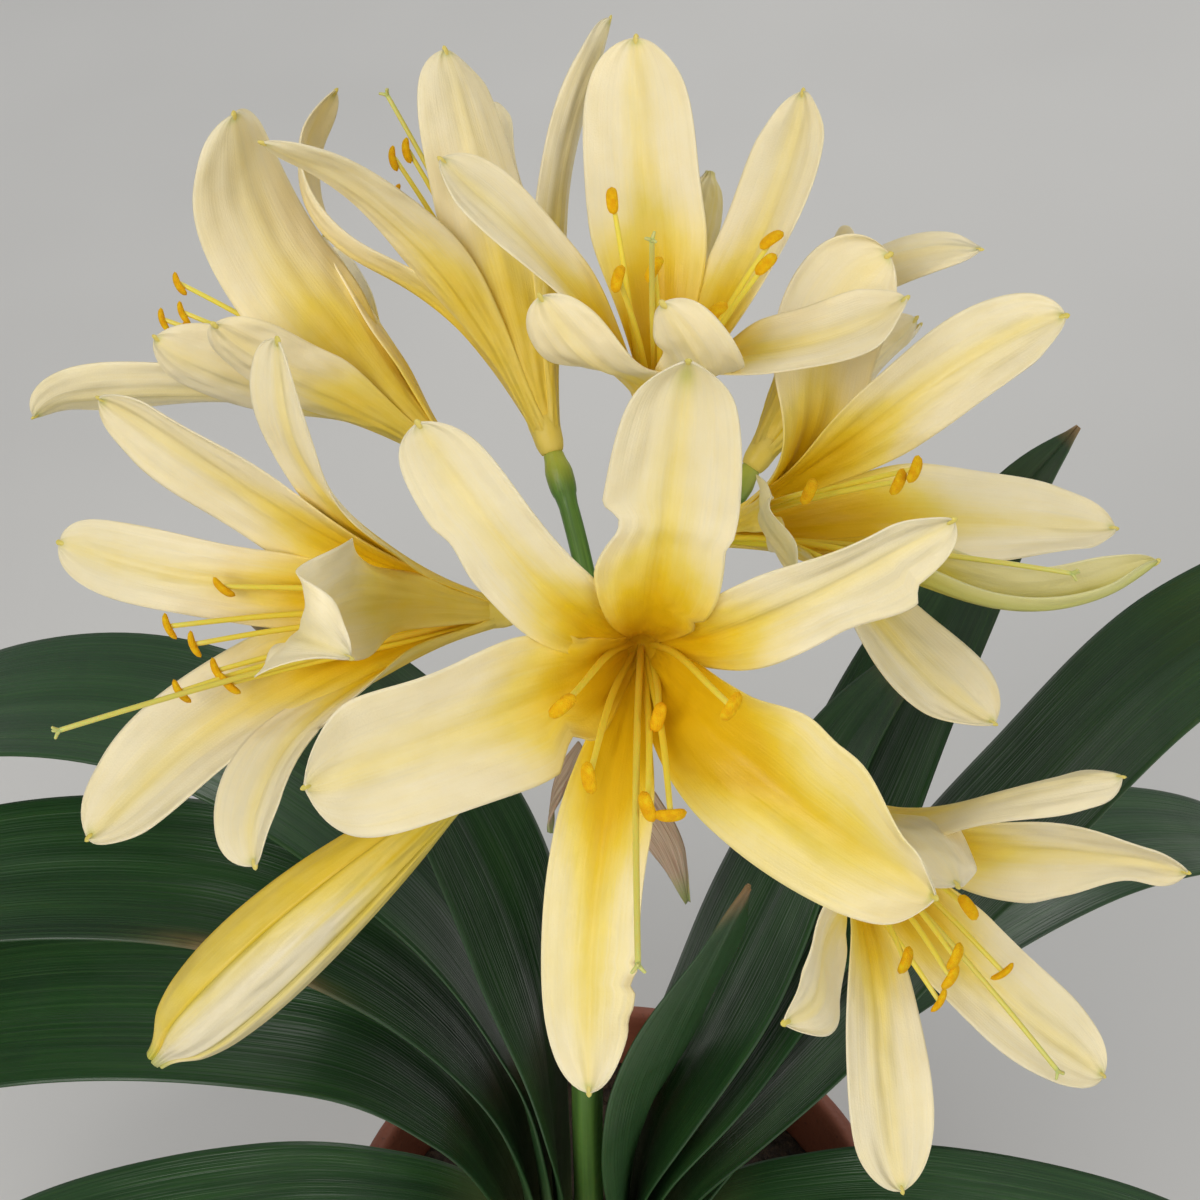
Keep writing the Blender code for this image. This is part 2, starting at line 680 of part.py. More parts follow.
def bloom_tube(name, foot, axes, col):
    profile = [(0.0, TUBE_PROFILE[0][1])] + list(TUBE_PROFILE) + [(0.0, TUBE_PROFILE[-1][1] - 0.0005)]
    obj = turned_body(name, profile, TUBE_SIDES, col)
    place = np.eye(4)
    place[:3, :3] = axes
    place[:3, 3] = foot
    obj.data.transform(Matrix(place.tolist()))
    return obj


def make_bloom(name, spec, col, parts_col, mat):
    foot, axes = bloom_frame(spec)
    body = bloom_tube(name, foot, axes, col)
    for k, tep in enumerate(spec["tepals"]):
        outer, inner = tepal_grids(tep, TEPAL_STATIONS, 3)
        outer = turned(outer, tep[0], axes, foot)
        inner = turned(inner, tep[0], axes, foot)
        add_object("t%d" % k, blade("t%d" % k, outer, inner), parts_col)
    for k, st in enumerate(spec["stamens"]):
        stamen(str(k), st, foot, axes, parts_col, 25 + 35 * k)
    style_of(name, spec["style"], foot, axes, parts_col)
    union_of(body, parts_col)
    body.data.materials.append(mat)


def bud_line(foot, tip, bow):
    """Middle line of a bud, bowed up between its ends, and the way it leaves its foot."""
    t = np.linspace(0.0, 1.0, 10)[:, None]
    lift = np.array([0.0, 0.0, bow / 1000]) * 4 * t * (1 - t)
    line = foot + (tip - foot) * t + lift
    return line, unit(line[1] - line[0])


def make_bud(name, spec, col, mat):
    foot, tip, thick, bow = spec
    line = bud_line(np.array(foot) / 1000, np.array(tip) / 1000, bow)[0]
    along = tangents(line)
    radii = np.array([0.26, 0.48, 0.66, 0.80, 0.91, 0.98, 1.0, 0.95, 0.78, 0.28]) * thick / 2000
    sides = 12
    verts = []
    for centre, t, r in zip(line, along, radii):
        side = unit(np.cross(t, (0.0, 0.0, 1.0)))
        up = np.cross(side, t)
        for i in range(sides):
            a = 2 * math.pi * i / sides
            k = r * (1 + 0.06 * math.cos(3 * a + 0.5))
            verts.append(centre + side * k * math.cos(a) + up * k * math.sin(a))
    faces = [tuple(range(sides)), tuple(range(len(verts) - sides, len(verts)))[::-1]]
    for row in range(len(line) - 1):
        for i in range(sides):
            a = row * sides + i
            b = row * sides + (i + 1) % sides
            faces.append((a, b, b + sides, a + sides))
    add_object(name, closed_mesh(name, verts, faces), col, mat)


# ---------------------------------------------------------------- leaves and bracts

def strap_grids(points, stations, columns, half, cup, thick, side, lie=None):
    """Under and upper faces of a strap-like blade along a line, channelled towards its upper face."""
    path = even_path(np.array(points) / 1000, stations)
    along = tangents(path)
    heading = unit((path[-1] - path[0]) * (1.0, 1.0, 0.0))
    end = np.array([-heading[1], heading[0], 0.0])
    end = end if end[1] >= 0 else -end
    mix = ease(stations, 0.25, 0.65)[:, None]
    across = unit(np.array([0.0, 1.0, 0.0]) * (1 - mix) + end * mix)
    if lie is not None:
        across = np.tile(unit(lie), (len(path), 1))
    across = unit(across - (across * along).sum(-1, keepdims=True) * along)
    under = side * np.cross(across, along)
    v = np.linspace(-1.0, 1.0, columns)
    k = np.radians(cup)[:, None]
    x = (half[:, None] * np.sin(k * v) / k)[..., None]
    y = (half[:, None] * (1 - np.cos(k * v)) / k)[..., None]
    middle = path[:, None] + across[:, None] * x - under[:, None] * y
    normal = under[:, None] * np.cos(k * v)[..., None] + across[:, None] * np.sin(k * v)[..., None]
    shift = normal * thick[:, None, None] / 2
    return middle + shift, middle - shift


def leaf_shape(st, width):
    half = width / 2000 * (0.72 + 0.28 * ease(st, 0.10, 0.42))
    t = np.clip((st - 0.55) / 0.45, 0.0, 1.0)
    half = half * (1 - t ** 2.0) ** 0.80
    half = np.maximum(half, 0.0010)
    cup = 25 - 11 * ease(st, 0.15, 0.45)
    thick = SHEATH_THICKNESS + (LEAF_THICKNESS - SHEATH_THICKNESS) * ease(st, 0.08, 0.35)
    return half, cup, thick - 0.0003 * ease(st, 0.7, 1.0)


def make_leaf(name, spec, col, mat):
    points, width, side = spec
    st = np.array([0.0, 0.10, 0.20, 0.30, 0.40, 0.50, 0.60, 0.70, 0.80, 0.90, 0.97, 1.0])
    half, cup, thick = leaf_shape(st, width)
    under, upper = strap_grids(points, st, 3, half, cup, thick, side)
    add_object(name, blade(name, under, upper), col, mat)


def make_bract(name, spec, col, mat):
    points, width, lie, side = spec
    st = np.linspace(0.0, 1.0, 6)
    half = width / 2000 * np.array([0.75, 1.0, 0.95, 0.8, 0.5, 0.12])
    cup = np.full(6, 30.0)
    thick = np.full(6, 0.0006)
    under, upper = strap_grids(points, st, 3, half, cup, thick, side, lie)
    add_object(name, blade(name, under, upper), col, mat)


# ---------------------------------------------------------------- the whole plant

def main():
    clear_scene()
    col = new_collection(NAME)
    cutters = new_collection(NAME + "_cutters")
    work = new_collection(NAME + "_work")
    terracotta = (0.45, 0.17, 0.10)
    leaf_green = (0.03, 0.11, 0.03)
    stalk_green = (0.22, 0.42, 0.10)
    cream = (0.90, 0.80, 0.45)
    make_pot(col, cutters, material("pot", terracotta, 0.6))
    make_soil(col, cutters, material("soil", (0.06, 0.04, 0.03), 0.95))
    make_stalk(col, work, material("flower_stalk", stalk_green, 0.45))
    for name, spec in LEAVES.items():
        make_leaf(name, spec, col, material(name, leaf_green, 0.35))
    for name, spec in BLOOMS.items():
        make_bloom(name, spec, col, work, material(name, cream, 0.5))
    for name, spec in BUDS.items():
        make_bud(name, spec, col, material(name, cream, 0.5))
    for name, spec in BRACTS.items():
        make_bract(name, spec, col, material(name, (0.62, 0.38, 0.30), 0.7))
    discard(cutters.objects)
    bpy.data.collections.remove(work)


main()
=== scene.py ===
"""The look of a cream-yellow clivia in flower, in its terracotta pot.  Metres, +Z up, pot base on z = 0."""
import math

import bmesh
import bpy
import numpy as np
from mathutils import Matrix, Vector, noise


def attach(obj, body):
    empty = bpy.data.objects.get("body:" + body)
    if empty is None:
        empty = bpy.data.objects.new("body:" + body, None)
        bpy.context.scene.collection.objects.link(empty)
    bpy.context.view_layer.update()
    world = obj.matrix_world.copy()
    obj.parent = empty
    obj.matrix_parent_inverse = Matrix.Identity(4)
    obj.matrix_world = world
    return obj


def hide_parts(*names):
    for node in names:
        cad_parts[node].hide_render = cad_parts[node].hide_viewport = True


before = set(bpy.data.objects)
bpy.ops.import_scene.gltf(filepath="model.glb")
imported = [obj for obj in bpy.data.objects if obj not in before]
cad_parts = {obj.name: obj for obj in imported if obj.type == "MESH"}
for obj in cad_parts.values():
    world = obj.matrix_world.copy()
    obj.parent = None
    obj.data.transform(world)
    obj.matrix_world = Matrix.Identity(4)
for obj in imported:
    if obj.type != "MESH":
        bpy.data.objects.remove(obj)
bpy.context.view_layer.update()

rng = np.random.default_rng(7)

# ---- sizes, as in the part

POT_HEIGHT = 0.14
POT_BASE_RADIUS = 0.05
POT_TOP_RADIUS = 0.0725
RIM_RADIUS = 0.0785
RIM_DROP = 0.02
RIM_GROOVE = 0.0022
POT_WALL = 0.004
POT_FLOOR = 0.0055
POT_CORNER = 0.0014  # rounding of the pot's corners
DRAIN_RADIUS = 0.0045
DRAIN_RING = 0.03
DRAIN_COUNT = 5
GAP = 0.0003  # between pieces that touch

SOIL_TOP = 0.122
SOIL_INSET = 0.0004  # further gap between soil and pot
CRUMB_COUNT = 420
CROWN_HOLE_FLOOR = 0.107
CROWN_CENTRE_X = -0.006
CROWN_HALF_X = 0.0257
CROWN_HALF_Y = 0.0197

STALK_PATH = [(-7.5, 0, 107.3), (-8, -3, 170), (-8, -8, 250), (-6, -13, 330), (-3, -16, 386)]
STALK_HALF_X = 0.004
STALK_HALF_Y = 0.0068
UMBEL_CENTRE = (-0.003, -0.016, 0.387)
UMBEL_KNOB_RADIUS = 0.0072
PEDICEL_RADIUS = 0.0019
NECK_RADIUS = PEDICEL_RADIUS * 1.12
OVARY_RADIUS = 0.0027
OVARY_LENGTH = 0.0085

TEPAL_THICKNESS = 0.0007
TUBE_ANGLE = 13.0  # opening angle of every tepal at its foot, degrees
INNER_RADIUS = 0.0026  # of the tube at the inner tepals' feet
WHORL_STEP = 0.0011  # how far the outer ones stand outside it
TUBE_PINCH = (0.0009, 0.0015)
TUBE_PINCH_END = (0.25, 0.38)
TUBE_FOOT = 0.003
CLAW_WIDTH = 0.3  # a tepal's width at its foot, as a share of its widest
FULL_WIDTH = 0.52  # where along it the tepal is first at full width, and where it starts to narrow
WIDEST = 0.62
HOOK_FROM = 0.86  # where along a tepal its tip starts to bend
TEPAL_RIB = 0.00042
TEPAL_CHANNEL = 0.0001
BEAK_LENGTH = 0.0022
BEAK_RADIUS = 0.00055

FILAMENT_RADIUS = 0.0006
FILAMENT_BOW = 0.0017  # how far a filament or style arches between its ends
STAMEN_CURL = 6.0
STAMEN_START = 0.0022  # distance of its foot from the bloom's axis
STYLE_RADIUS = 0.0005
STYLE_CURL = 4.0
STYLE_START = 0.0009
ANTHER_LENGTH = 0.005
ANTHER_RADIUS = 0.0009
ANTHER_LEAN = 47.0  # the plane that anthers lie in leans back by this, degrees

# radius and height of the rings of a bloom's tube, and of the dish in its mouth
TUBE_RINGS = [(0.0018, -0.003), (0.0021, -0.0029), (0.0024, -0.0022), (0.0027, -0.001), (0.0028, 0.0002),
              (0.0029, 0.0014), (0.0031, 0.0028), (0.0031, 0.004)]
DISH_RINGS = [(0.003, 0.0046), (0.0026, 0.0044), (0.0019, 0.0034), (0.0012, 0.0024), (0.0005, 0.0018)]

# share of gold on the tube, in the dish, and on a tepal's outside against its inside
TUBE_GOLD = 0.52
DISH_GOLD = 0.95
OUTSIDE_GOLD = 0.62

LEAF_THICKNESS = 0.0013
LEAF_TIP_THINNER = 0.0003
LEAF_FOOT = 108.3  # height of every leaf's foot, mm
LEAF_RIB = 0.0005
LEAF_WAVE = 0.0009
SHEATH_THICKNESS = 0.0024
BRACT_THICKNESS = 0.0004

# fineness of the meshes
PATH_STEPS = 481
LINE_STEPS = 200
TEPAL_ROWS = 64
TEPAL_COLUMNS = 25
LEAF_ROWS = 120
LEAF_COLUMNS = 21
BRACT_ROWS = 50
BRACT_COLUMNS = 15
BUD_ROWS = 120
BUD_SIDES = 144
POT_SIDES = 144
SOIL_RINGS = 56
SOIL_SIDES = 150
STALK_ROWS = 60
STALK_SIDES = 32
PEDICEL_SIDES = 18
THREAD_SIDES = 10

# Each bloom: foot of its tube (mm); heading, rise and roll of the way it faces (degrees); tepals;
# stamens; style.
# Each tepal: turn about the bloom, opening angle, length and width (mm), twist, sideways bend,
# extra curl at the tip, cupping and whorl (0 inner, 1 outer).
# Each stamen: turn, opening angle, length (mm) and how its anther lies, degrees from level.
# Each style: turn, opening angle and length (mm).
BLOOMS = {
    "bloom_front": ((2, -35, 430), (-90, 35, 0), [
        (-7, 62, 79, 21.5, -3, 2, -7, 30, 0),
        (47, 58, 77, 14.5, 19, -16, 18, 20, 1),
        (100, 62, 74, 24.5, 7, 3, 2, 25, 0),
        (160, 64, 82, 15.5, -20, 20, 19, 20, 1),
        (231, 65, 74, 24, -25, 9, 12, 32, 0),
        (301, 58, 73, 15, -31, 3, 24, 20, 1),
    ], [(87, 11, 46, 40), (200, 6, 26, 75), (273, 11, 46, 58), (141, 13, 46, 100), (181, 15, 47, 110),
        (193, 17, 48, 4)], (177, 27, 76)),
    "bloom_left": ((-23, -17, 418), (-156, 25, 27), [
        (2, 39, 77, 15, -8, -24, 32, 20, 1),
        (38, 38, 80, 20.5, 4, 12, 8, 25, 0),
        (92, 28, 82, 14, -8, -2, 41, 20, 1),
        (152, 40, 84, 23, 0, 10, 21, 25, 0),
        (204, 32, 72, 21, 11, 10, 41, 20, 1),
        (298, 38, 82, 19, 48, -28, 6, 30, 0),
    ], [(91, 15, 49, 140), (115, 16, 58, 115), (126, 16, 54, 112), (145, 16, 51, 120),
        (157, 16, 50, 135), (151, 18, 58, 128)], (157, 20, 80)),
    "bloom_upper_left": ((-36, 27, 417), (143, 21, 35), [
        (-50, 17, 78, 24.5, -12, 16, 61, 25, 0),
        (27, 15, 48, 16, 0, 0, 6, 20, 1),
        (95, 48, 75, 21, 0, 0, 10, 25, 0),
        (212, 39, 82, 21, -8, -9, 8, 20, 1),
        (226, 33, 58, 18, -28, 20, -4, 25, 0),
        (262, 50, 52, 15, 17, 18, -1, 25, 1),
    ], [(263, 16, 58, 118), (234, 17, 58, 110), (244, 15, 55, 115), (230, 16, 53, 110), (60, 14, 48, 60),
        (120, 14, 50, 95)], (206, 31, 64)),
    "bloom_back": ((-15, 27, 420), (110, 35, 6), [
        (-16, 29, 75, 19.5, -41, 0, 1, 25, 0),
        (40, 22, 81, 14, -11, 12, 20, 20, 1),
        (140, 8, 78, 15, 23, 0, 27, 25, 0),
        (180, 40, 74, 17, 0, 0, 10, 20, 1),
        (262, 52, 88, 15, 18, 11, -99, 25, 0),
        (305, 50, 85, 14, 22, 2, 33, 20, 1),
    ], [(298, 16, 60, 100), (309, 16, 60, 100), (281, 15, 54, 85), (60, 12, 50, 60), (120, 12, 50, 95),
        (200, 12, 50, 120)], (311, 18, 71)),
    "bloom_top": ((6, 22, 425), (79, 82, 202), [
        (-3, 54, 76, 22.5, 33, -1, -16, 25, 0),
        (84, 41, 68, 19.5, 16, -24, 15, 20, 1),
        (145, 58, 52, 15, -20, -34, -56, 15, 0),
        (196, 53, 54, 15, 52, -31, -74, 20, 1),
        (222, 69, 61, 17, -35, 35, -15, 20, 0),
        (277, 36, 70, 19.5, -8, 34, -6, 20, 1),
    ], [(31, 15, 46, 95), (136, 19, 45, 75), (158, 15, 47, 60), (248, 21, 48, 35), (234, 23, 46, 45),
        (196, 25, 41, 35)], (159, 24, 59)),
    "bloom_right": ((16.5, 5.5, 415.5), (-17, 32, -25), [
        (-22, 82, 64, 21.5, 63, -14, -49, 25, 0),
        (61, 70, 52, 11, -21, 53, -60, 25, 1),
        (149, 58, 69, 21.5, -36, 6, -14, 25, 0),
        (178, 38, 84, 16, -46, 28, -51, 45, 1),
        (237, 44, 76, 22.5, 36, -1, 6, 25, 0),
        (318, 32, 75, 16.5, 70, -10, -13, 25, 1),
    ], [(67, 32, 35, 65), (72, 14, 48, 65), (66, 12, 51, 70), (119, 31, 38, 20), (135, 28, 41, 50),
        (131, 19, 44, 80)], (185, 19, 68)),
    "bloom_lower_right": ((32, -35, 390), (-50, 0, -37), [
        (24, 49, 63, 19, -2, -43, -17, 25, 1),
        (48, 55, 54, 22, 43, 12, -40, 25, 0),
        (91, 70, 71, 17, -54, 18, -40, 20, 1),
        (168, 47, 74, 18, -46, 11, 0, 20, 0),
        (232, 42, 79, 18, 16, 15, 5, 25, 1),
        (304, 50, 71, 22, -9, -1, -9, 25, 0),
    ], [(55, 16, 46, 125), (109, 19, 43, 70), (85, 13, 49, 65), (99, 12, 50, 60), (190, 15, 45, 60),
        (244, 15, 48, 35)], (226, 18, 67)),
    "bloom_far_right": ((27, 36, 407), (48, 34, 0), [
        (-3, 20, 52, 17, 20, 16, 60, 25, 0),
        (75, 14, 40, 13, 0, 0, 8, 25, 1),
        (135, 14, 42, 14, 0, 0, 8, 25, 0),
        (195, 15, 46, 13, 0, 0, 8, 25, 1),
        (255, 13, 46, 13, 0, 0, 0, 25, 0),
        (335, 8, 69, 13, 2, 70, -26, 25, 1),
    ], [(0, 8, 36, 20), (60, 8, 36, 60), (120, 8, 36, 90), (180, 9, 36, 120), (240, 9, 36, 150),
        (300, 8, 36, 10)], (200, 8, 42)),
}

# How single tepals differ, by bloom and place in its list.  Places along a tepal are shares of its
# length, sides are -1 and 1, and angles are degrees.
# nicks: place, side, depth as a share of the half width, and half length.
# steps: place, side and depth of a stepped margin, and how far it runs below and above.
# folds: place, half length and depth (mm) of a crease across.
# hook: inward bend of the tip, from hook_from on.  keel: V-fold along the middle.
# longer: factor on the length.  blunt: fullness of the tip's outline.  tip_cup: rise of its margins.
# wave: edge waves, mm.  dimple: place, place across and strength of a green spot.
# beak, gold, green and wash: strength of the beak's green, the gold stripe, a green side and overall gold.
# A tepal with no hook or wave of its own draws one at random.
PLAIN = {"nicks": (), "steps": (), "folds": (), "hook_from": HOOK_FROM, "keel": 0.0, "longer": 1.0,
         "blunt": 3.8, "tip_cup": 14.0, "dimple": (0.95, 0.0, 0.0), "beak": 1.0, "gold": 0.9,
         "green": 0.0, "wash": 0.0}
MARKS = {
    "bloom_front": {
        0: dict(steps=[(0.6, 1, 0.27, 0.14, 0.05), (0.55, -1, 0.1, 0.16, 0.04)],
            nicks=[(0.34, -1, 0.16, 0.02)], folds=[(0.58, 0.03, 0.7)], hook=30, longer=1.03, blunt=2.3,
            beak=0.3, tip_cup=4.0, dimple=(0.95, 0.0, 0.6)),
        1: dict(steps=[(0.74, 1, 0.12, 0.1, 0.06)], hook=24, gold=0.8, wave=0.4, blunt=5.6, tip_cup=0.0,
            beak=0.4),
        2: dict(nicks=[(0.4, 1, 0.36, 0.045), (0.335, -1, 0.12, 0.012)], wave=0.8, blunt=5.4, tip_cup=6.0,
            beak=0.3),
        3: dict(nicks=[(0.745, 1, 0.09, 0.006), (0.785, 1, 0.22, 0.011), (0.855, 1, 0.07, 0.022)], gold=1.1,
            wash=0.24),
        4: dict(steps=[(0.56, 1, -0.16, 0.12, 0.1), (0.86, 1, 0.22, 0.16, 0.14)], gold=1.2, wash=0.4, hook=50,
            wave=2.3, tip_cup=30.0),
        5: dict(steps=[(0.83, -1, -0.38, 0.18, 0.03)], hook=14, gold=0.7, blunt=4.4, wave=0.7, beak=0.3),
    },
    "bloom_left": {
        1: dict(blunt=4.8, tip_cup=8.0),
        2: dict(blunt=5.6, tip_cup=6.0, hook=12, beak=0.4),
        4: dict(nicks=[(0.62, 1, 0.1, 0.01), (0.67, 1, 0.12, 0.008)], hook=-20),
        5: dict(hook=-110, hook_from=0.8, wave=2.6, beak=0.4),
    },
    "bloom_upper_left": {3: dict(hook=-30)},
    "bloom_back": {0: dict(blunt=5.0, tip_cup=6.0, hook=20)},
    "bloom_top": {0: dict(blunt=4.4, tip_cup=6.0, hook=12), 4: dict(hook=20)},
    "bloom_right": {
        0: dict(blunt=4.8, tip_cup=8.0),
        1: dict(steps=[(0.42, 1, 0.4, 0.08, 0.05), (0.62, -1, 0.35, 0.06, 0.08), (0.78, 1, 0.35, 0.07, 0.05)],
            green=0.25, wave=2.0, hook=-30, beak=0.5),
        3: dict(green=0.75, keel=42, gold=1.3),
    },
    "bloom_lower_right": {
        2: dict(hook=-64, hook_from=0.78, blunt=2.2, tip_cup=40.0),
        5: dict(steps=[(0.62, -1, -0.16, 0.22, 0.1), (0.86, -1, 0.3, 0.16, 0.14)], wave=0.9, blunt=2.6),
    },
}

# Each bud: foot and tip (mm), thickness (mm) and how far it bows up (mm).
BUDS = {
    "bud_lower_left": ((-32, -27, 378), (-91, -61, 338), 19.5, 3),
    "bud_small": ((9, 47, 427), (17, 76, 447), 9, 0),
}

# Radius along a bud as a share of its widest; seams round it, degrees; how golden the plate after
# each seam is, where the upper plate's deeper gold is partly painted shade; and how strongly a bud
# is coloured.
BUD_OUTLINE = (0.26, 0.48, 0.66, 0.8, 0.91, 0.98, 1.0, 0.95, 0.78, 0.28)
BUD_SEAMS = (107, 178, 262, 340)
BUD_PLATE_GOLD_AND_SHADE = (0.34, 0.2, 0.3, 0.66)
BUD_TONE = {"bud_lower_left": 1.0, "bud_small": 0.4}

# Each bract: points along it (mm), width (mm), the way across it, and the side that its cup opens to.
BRACTS = {
    "bract_front": ([(-1.0, -22.95, 379), (2.5, -26.5, 374), (8, -29.5, 364), (12.5, -31, 348)],
                    8, (1, 0.1, 0), -1),
    "bract_left": ([(-8.4, -15.6, 377), (-11, -17, 371.5), (-14, -18.5, 364), (-15, -19, 355)],
                   7, (0, 1, 0), -1),
}
BRACT_OUTLINE = (0.75, 1.0, 0.95, 0.8, 0.5, 0.08)

# Each leaf: x of its foot (mm), further points along it (mm), width (mm), and the rank it stands in.
LEAVES = {
    "leaf_left_low": (-28.5, [(-28.7, 0, 126), (-36, -4, 150), (-58, -11, 176), (-95, -18, 188),
        (-155, -25, 172), (-215, -30, 112), (-245, -33, 58)], 42, -1),
    "leaf_left_front": (-25.4, [(-26.4, 0, 140), (-34, -2, 190), (-48, -3, 232), (-77, -3, 259),
        (-149, 0, 257), (-230, 0, 215), (-290, 2, 150)], 43, -1),
    "leaf_left_middle": (-22.3, [(-22.8, 0, 145), (-27, 1, 200), (-38, 4, 243), (-62, 8, 278),
        (-100, 11, 298), (-160, 13, 290), (-235, 14, 245), (-280, 15, 200)], 42, -1),
    "leaf_left_back": (-19.2, [(-19.6, 0, 150), (-22, 2, 205), (-29, 6, 250), (-50, 18, 293),
        (-95, 36, 322), (-150, 50, 312), (-215, 62, 262), (-255, 68, 215)], 42, -1),
    "leaf_left_inner": (-16.1, [(-16.3, 0, 150), (-17.5, 1, 210), (-21, 4, 260), (-32, 10, 310),
        (-52, 20, 350), (-84, 32, 370)], 38, -1),
    "leaf_centre": (1.0, [(1.2, -1, 150), (3, -5, 200), (9, -12, 250), (17, -19, 300),
        (25, -25, 345)], 34, 1),
    "leaf_right_inner": (4.1, [(4.4, 0, 150), (9.5, 1, 200), (22, 5, 245), (36, 11, 295), (50, 18, 340),
        (66, 26, 366)], 38, 1),
    "leaf_right_back": (7.2, [(7.8, 0, 150), (14, 1, 195), (31, 8, 240), (49, 22, 290), (67, 37, 342),
        (84, 52, 378), (97, 60, 393)], 40, 1),
    "leaf_right_front": (10.3, [(11.2, 0, 145), (20, 0, 185), (38, 1, 225), (60, 3, 272), (84, 5, 325),
        (112, 6, 380), (150, 10, 402), (195, 12, 385)], 42, 1),
    "leaf_right_rear": (13.4, [(13.8, 0, 135), (22, 4, 170), (44, 22, 200), (78, 45, 222), (125, 75, 222),
        (178, 102, 190), (220, 122, 142)], 41, 1),
    "leaf_right_low": (16.5, [(16.7, 0, 126), (24, -4, 150), (46, -11, 174), (85, -19, 188),
        (145, -28, 174), (200, -36, 115), (228, -40, 62)], 42, 1),
}

# ---- curves


def ease(x, a, b):
    """Smooth rise from 0 at a to 1 at b."""
    t = np.clip((np.asarray(x, float) - a) / (b - a), 0.0, 1.0)
    return t * t * (3.0 - 2.0 * t)


def bell(x, centre, wide):
    return np.exp(-(((np.asarray(x, float) - centre) / wide) ** 2))


def unit(v):
    v = np.asarray(v, float)
    return v / np.linalg.norm(v, axis=-1, keepdims=True)


def around(sides):
    return np.linspace(0.0, math.tau, sides, endpoint=False)


def steps(count):
    return np.linspace(0.0, 1.0, count)


def looked_up(at, known, table):
    """Rows of a table between its known ones."""
    return np.stack([np.interp(at, known, column) for column in table.T], axis=-1)


def even_path(points, stations):
    """A smooth curve through points given in mm, at the given fractions of its length."""
    pts = np.array(points) / 1000
    last = len(pts) - 1
    ext = np.vstack([2 * pts[0] - pts[1], pts, 2 * pts[-1] - pts[-2]])
    fine = []
    for u in np.linspace(0.0, last, PATH_STEPS):
        i = min(int(u), last - 1)
        t = u - i
        p0, p1, p2, p3 = ext[i:i + 4]
        fine.append((2 * p1 + (p2 - p0) * t + (2 * p0 - 5 * p1 + 4 * p2 - p3) * t * t
                     + (3 * p1 - p0 - 3 * p2 + p3) * t * t * t) / 2)
    fine = np.array(fine)
    length = np.append(0.0, np.cumsum(np.linalg.norm(np.diff(fine, axis=0), axis=1)))
    return looked_up(stations * length[-1], length, fine)


def tangents(path):
    return unit(np.gradient(path, axis=0))


def spin(angle):
    """The matrix that turns by an angle (degrees) about the third axis."""
    c = math.cos(math.radians(angle))
    s = math.sin(math.radians(angle))
    return np.array([[c, -s, 0.0], [s, c, 0.0], [0.0, 0.0, 1.0]])


def bloom_axes(heading, rise, roll):
    """Columns: two cross axes and the way the bloom faces."""
    h = math.radians(heading)
    r = math.radians(rise)
    z = np.array([math.cos(h) * math.cos(r), math.sin(h) * math.cos(r), math.sin(r)])
    up = np.array([0.0, 0.0, 1.0])
    x = unit(up - up.dot(z) * z)
    return np.stack([x, np.cross(z, x), z], axis=-1) @ spin(roll)


def turned(points, angle, axes, origin):
    return points @ (axes @ spin(angle)).T + origin


def cross_frames(path):
    """Two cross axes along a path, turning as little as they can."""
    along = tangents(path)
    side = np.cross(along[0], (0.0, 0.0, 1.0))
    if np.linalg.norm(side) < 1e-3:
        side = np.cross(along[0], (1.0, 0.0, 0.0))
    sides = []
    for t in along:
        side = unit(side - side.dot(t) * t)
        sides.append(side)
    return np.array(sides), np.cross(along, sides)


# ---- meshes


def placed(name, data):
    """A new object in the scene."""
    obj = bpy.data.objects.new(name, data)
    bpy.context.scene.collection.objects.link(obj)
    return obj


def dressed(obj, node):
    """Lets a piece ride on the plant and stand for its node."""
    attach(obj, "root")
    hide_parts(node)


class Mesh:
    """Gathers bodies for one piece, with two marks a point that its material reads."""

    def __init__(self):
        self.points = []
        self.place = []
        self.tone = []
        self.faces = []
        self.count = 0

    def add(self, body, place=(0, 0, 0), tone=(0, 0, 0), shape=None):
        """Adds a body.  A mark is three numbers, or three grids that fit the shape.  The points
        that close a lofted body's ends take the first and the last row of it."""
        points, faces = body
        for table, mark in ((self.place, place), (self.tone, tone)):
            rows = [np.broadcast_to(part, shape or len(points)) for part in mark]
            rows = np.stack(rows, axis=-1).reshape(-1, 3)
            if len(rows) < len(points):
                rows = np.vstack([rows, rows[:1], rows[-1:]])
            table.append(rows)
        self.points.append(points)
        self.faces += [tuple(i + self.count for i in f) for f in faces]
        self.count += len(points)

    def piece(self, node, part, look):
        """Makes the piece that stands for a node of the part."""
        name = node + "_" + part
        mesh = bpy.data.meshes.new(name)
        mesh.from_pydata(np.concatenate(self.points).tolist(), [], self.faces)
        for key, table in (("place", self.place), ("tone", self.tone)):
            layer = mesh.attributes.new(key, "FLOAT_VECTOR", "POINT")
            layer.data.foreach_set("vector", np.concatenate(table).astype(np.float32).ravel())
        mesh.polygons.foreach_set("use_smooth", [True] * len(mesh.polygons))
        mesh.materials.append(LOOKS[look])
        mesh.update()
        dressed(placed(name, mesh), node)


def sheet_body(middle, shift):
    """A closed thin body between two grids of points, with its rim."""
    rows, cols = middle.shape[:2]
    points = np.concatenate([(middle + shift).reshape(-1, 3), (middle - shift).reshape(-1, 3)])
    index = np.arange(rows * cols).reshape(rows, cols)
    back = rows * cols
    front = np.stack([index[:-1, :-1], index[1:, :-1], index[1:, 1:], index[:-1, 1:]], axis=-1).reshape(-1, 4)
    faces = np.stack([front, back + front[:, [0, 3, 2, 1]]], axis=1).reshape(-1, 4)
    ring = np.concatenate([index[0], index[1:, -1], index[-1, -2::-1], index[-2:0:-1, 0]])
    after = np.roll(ring, -1)
    rim = np.stack([ring, after, back + after, back + ring], axis=-1)
    return points, np.vstack([faces, rim]).tolist()


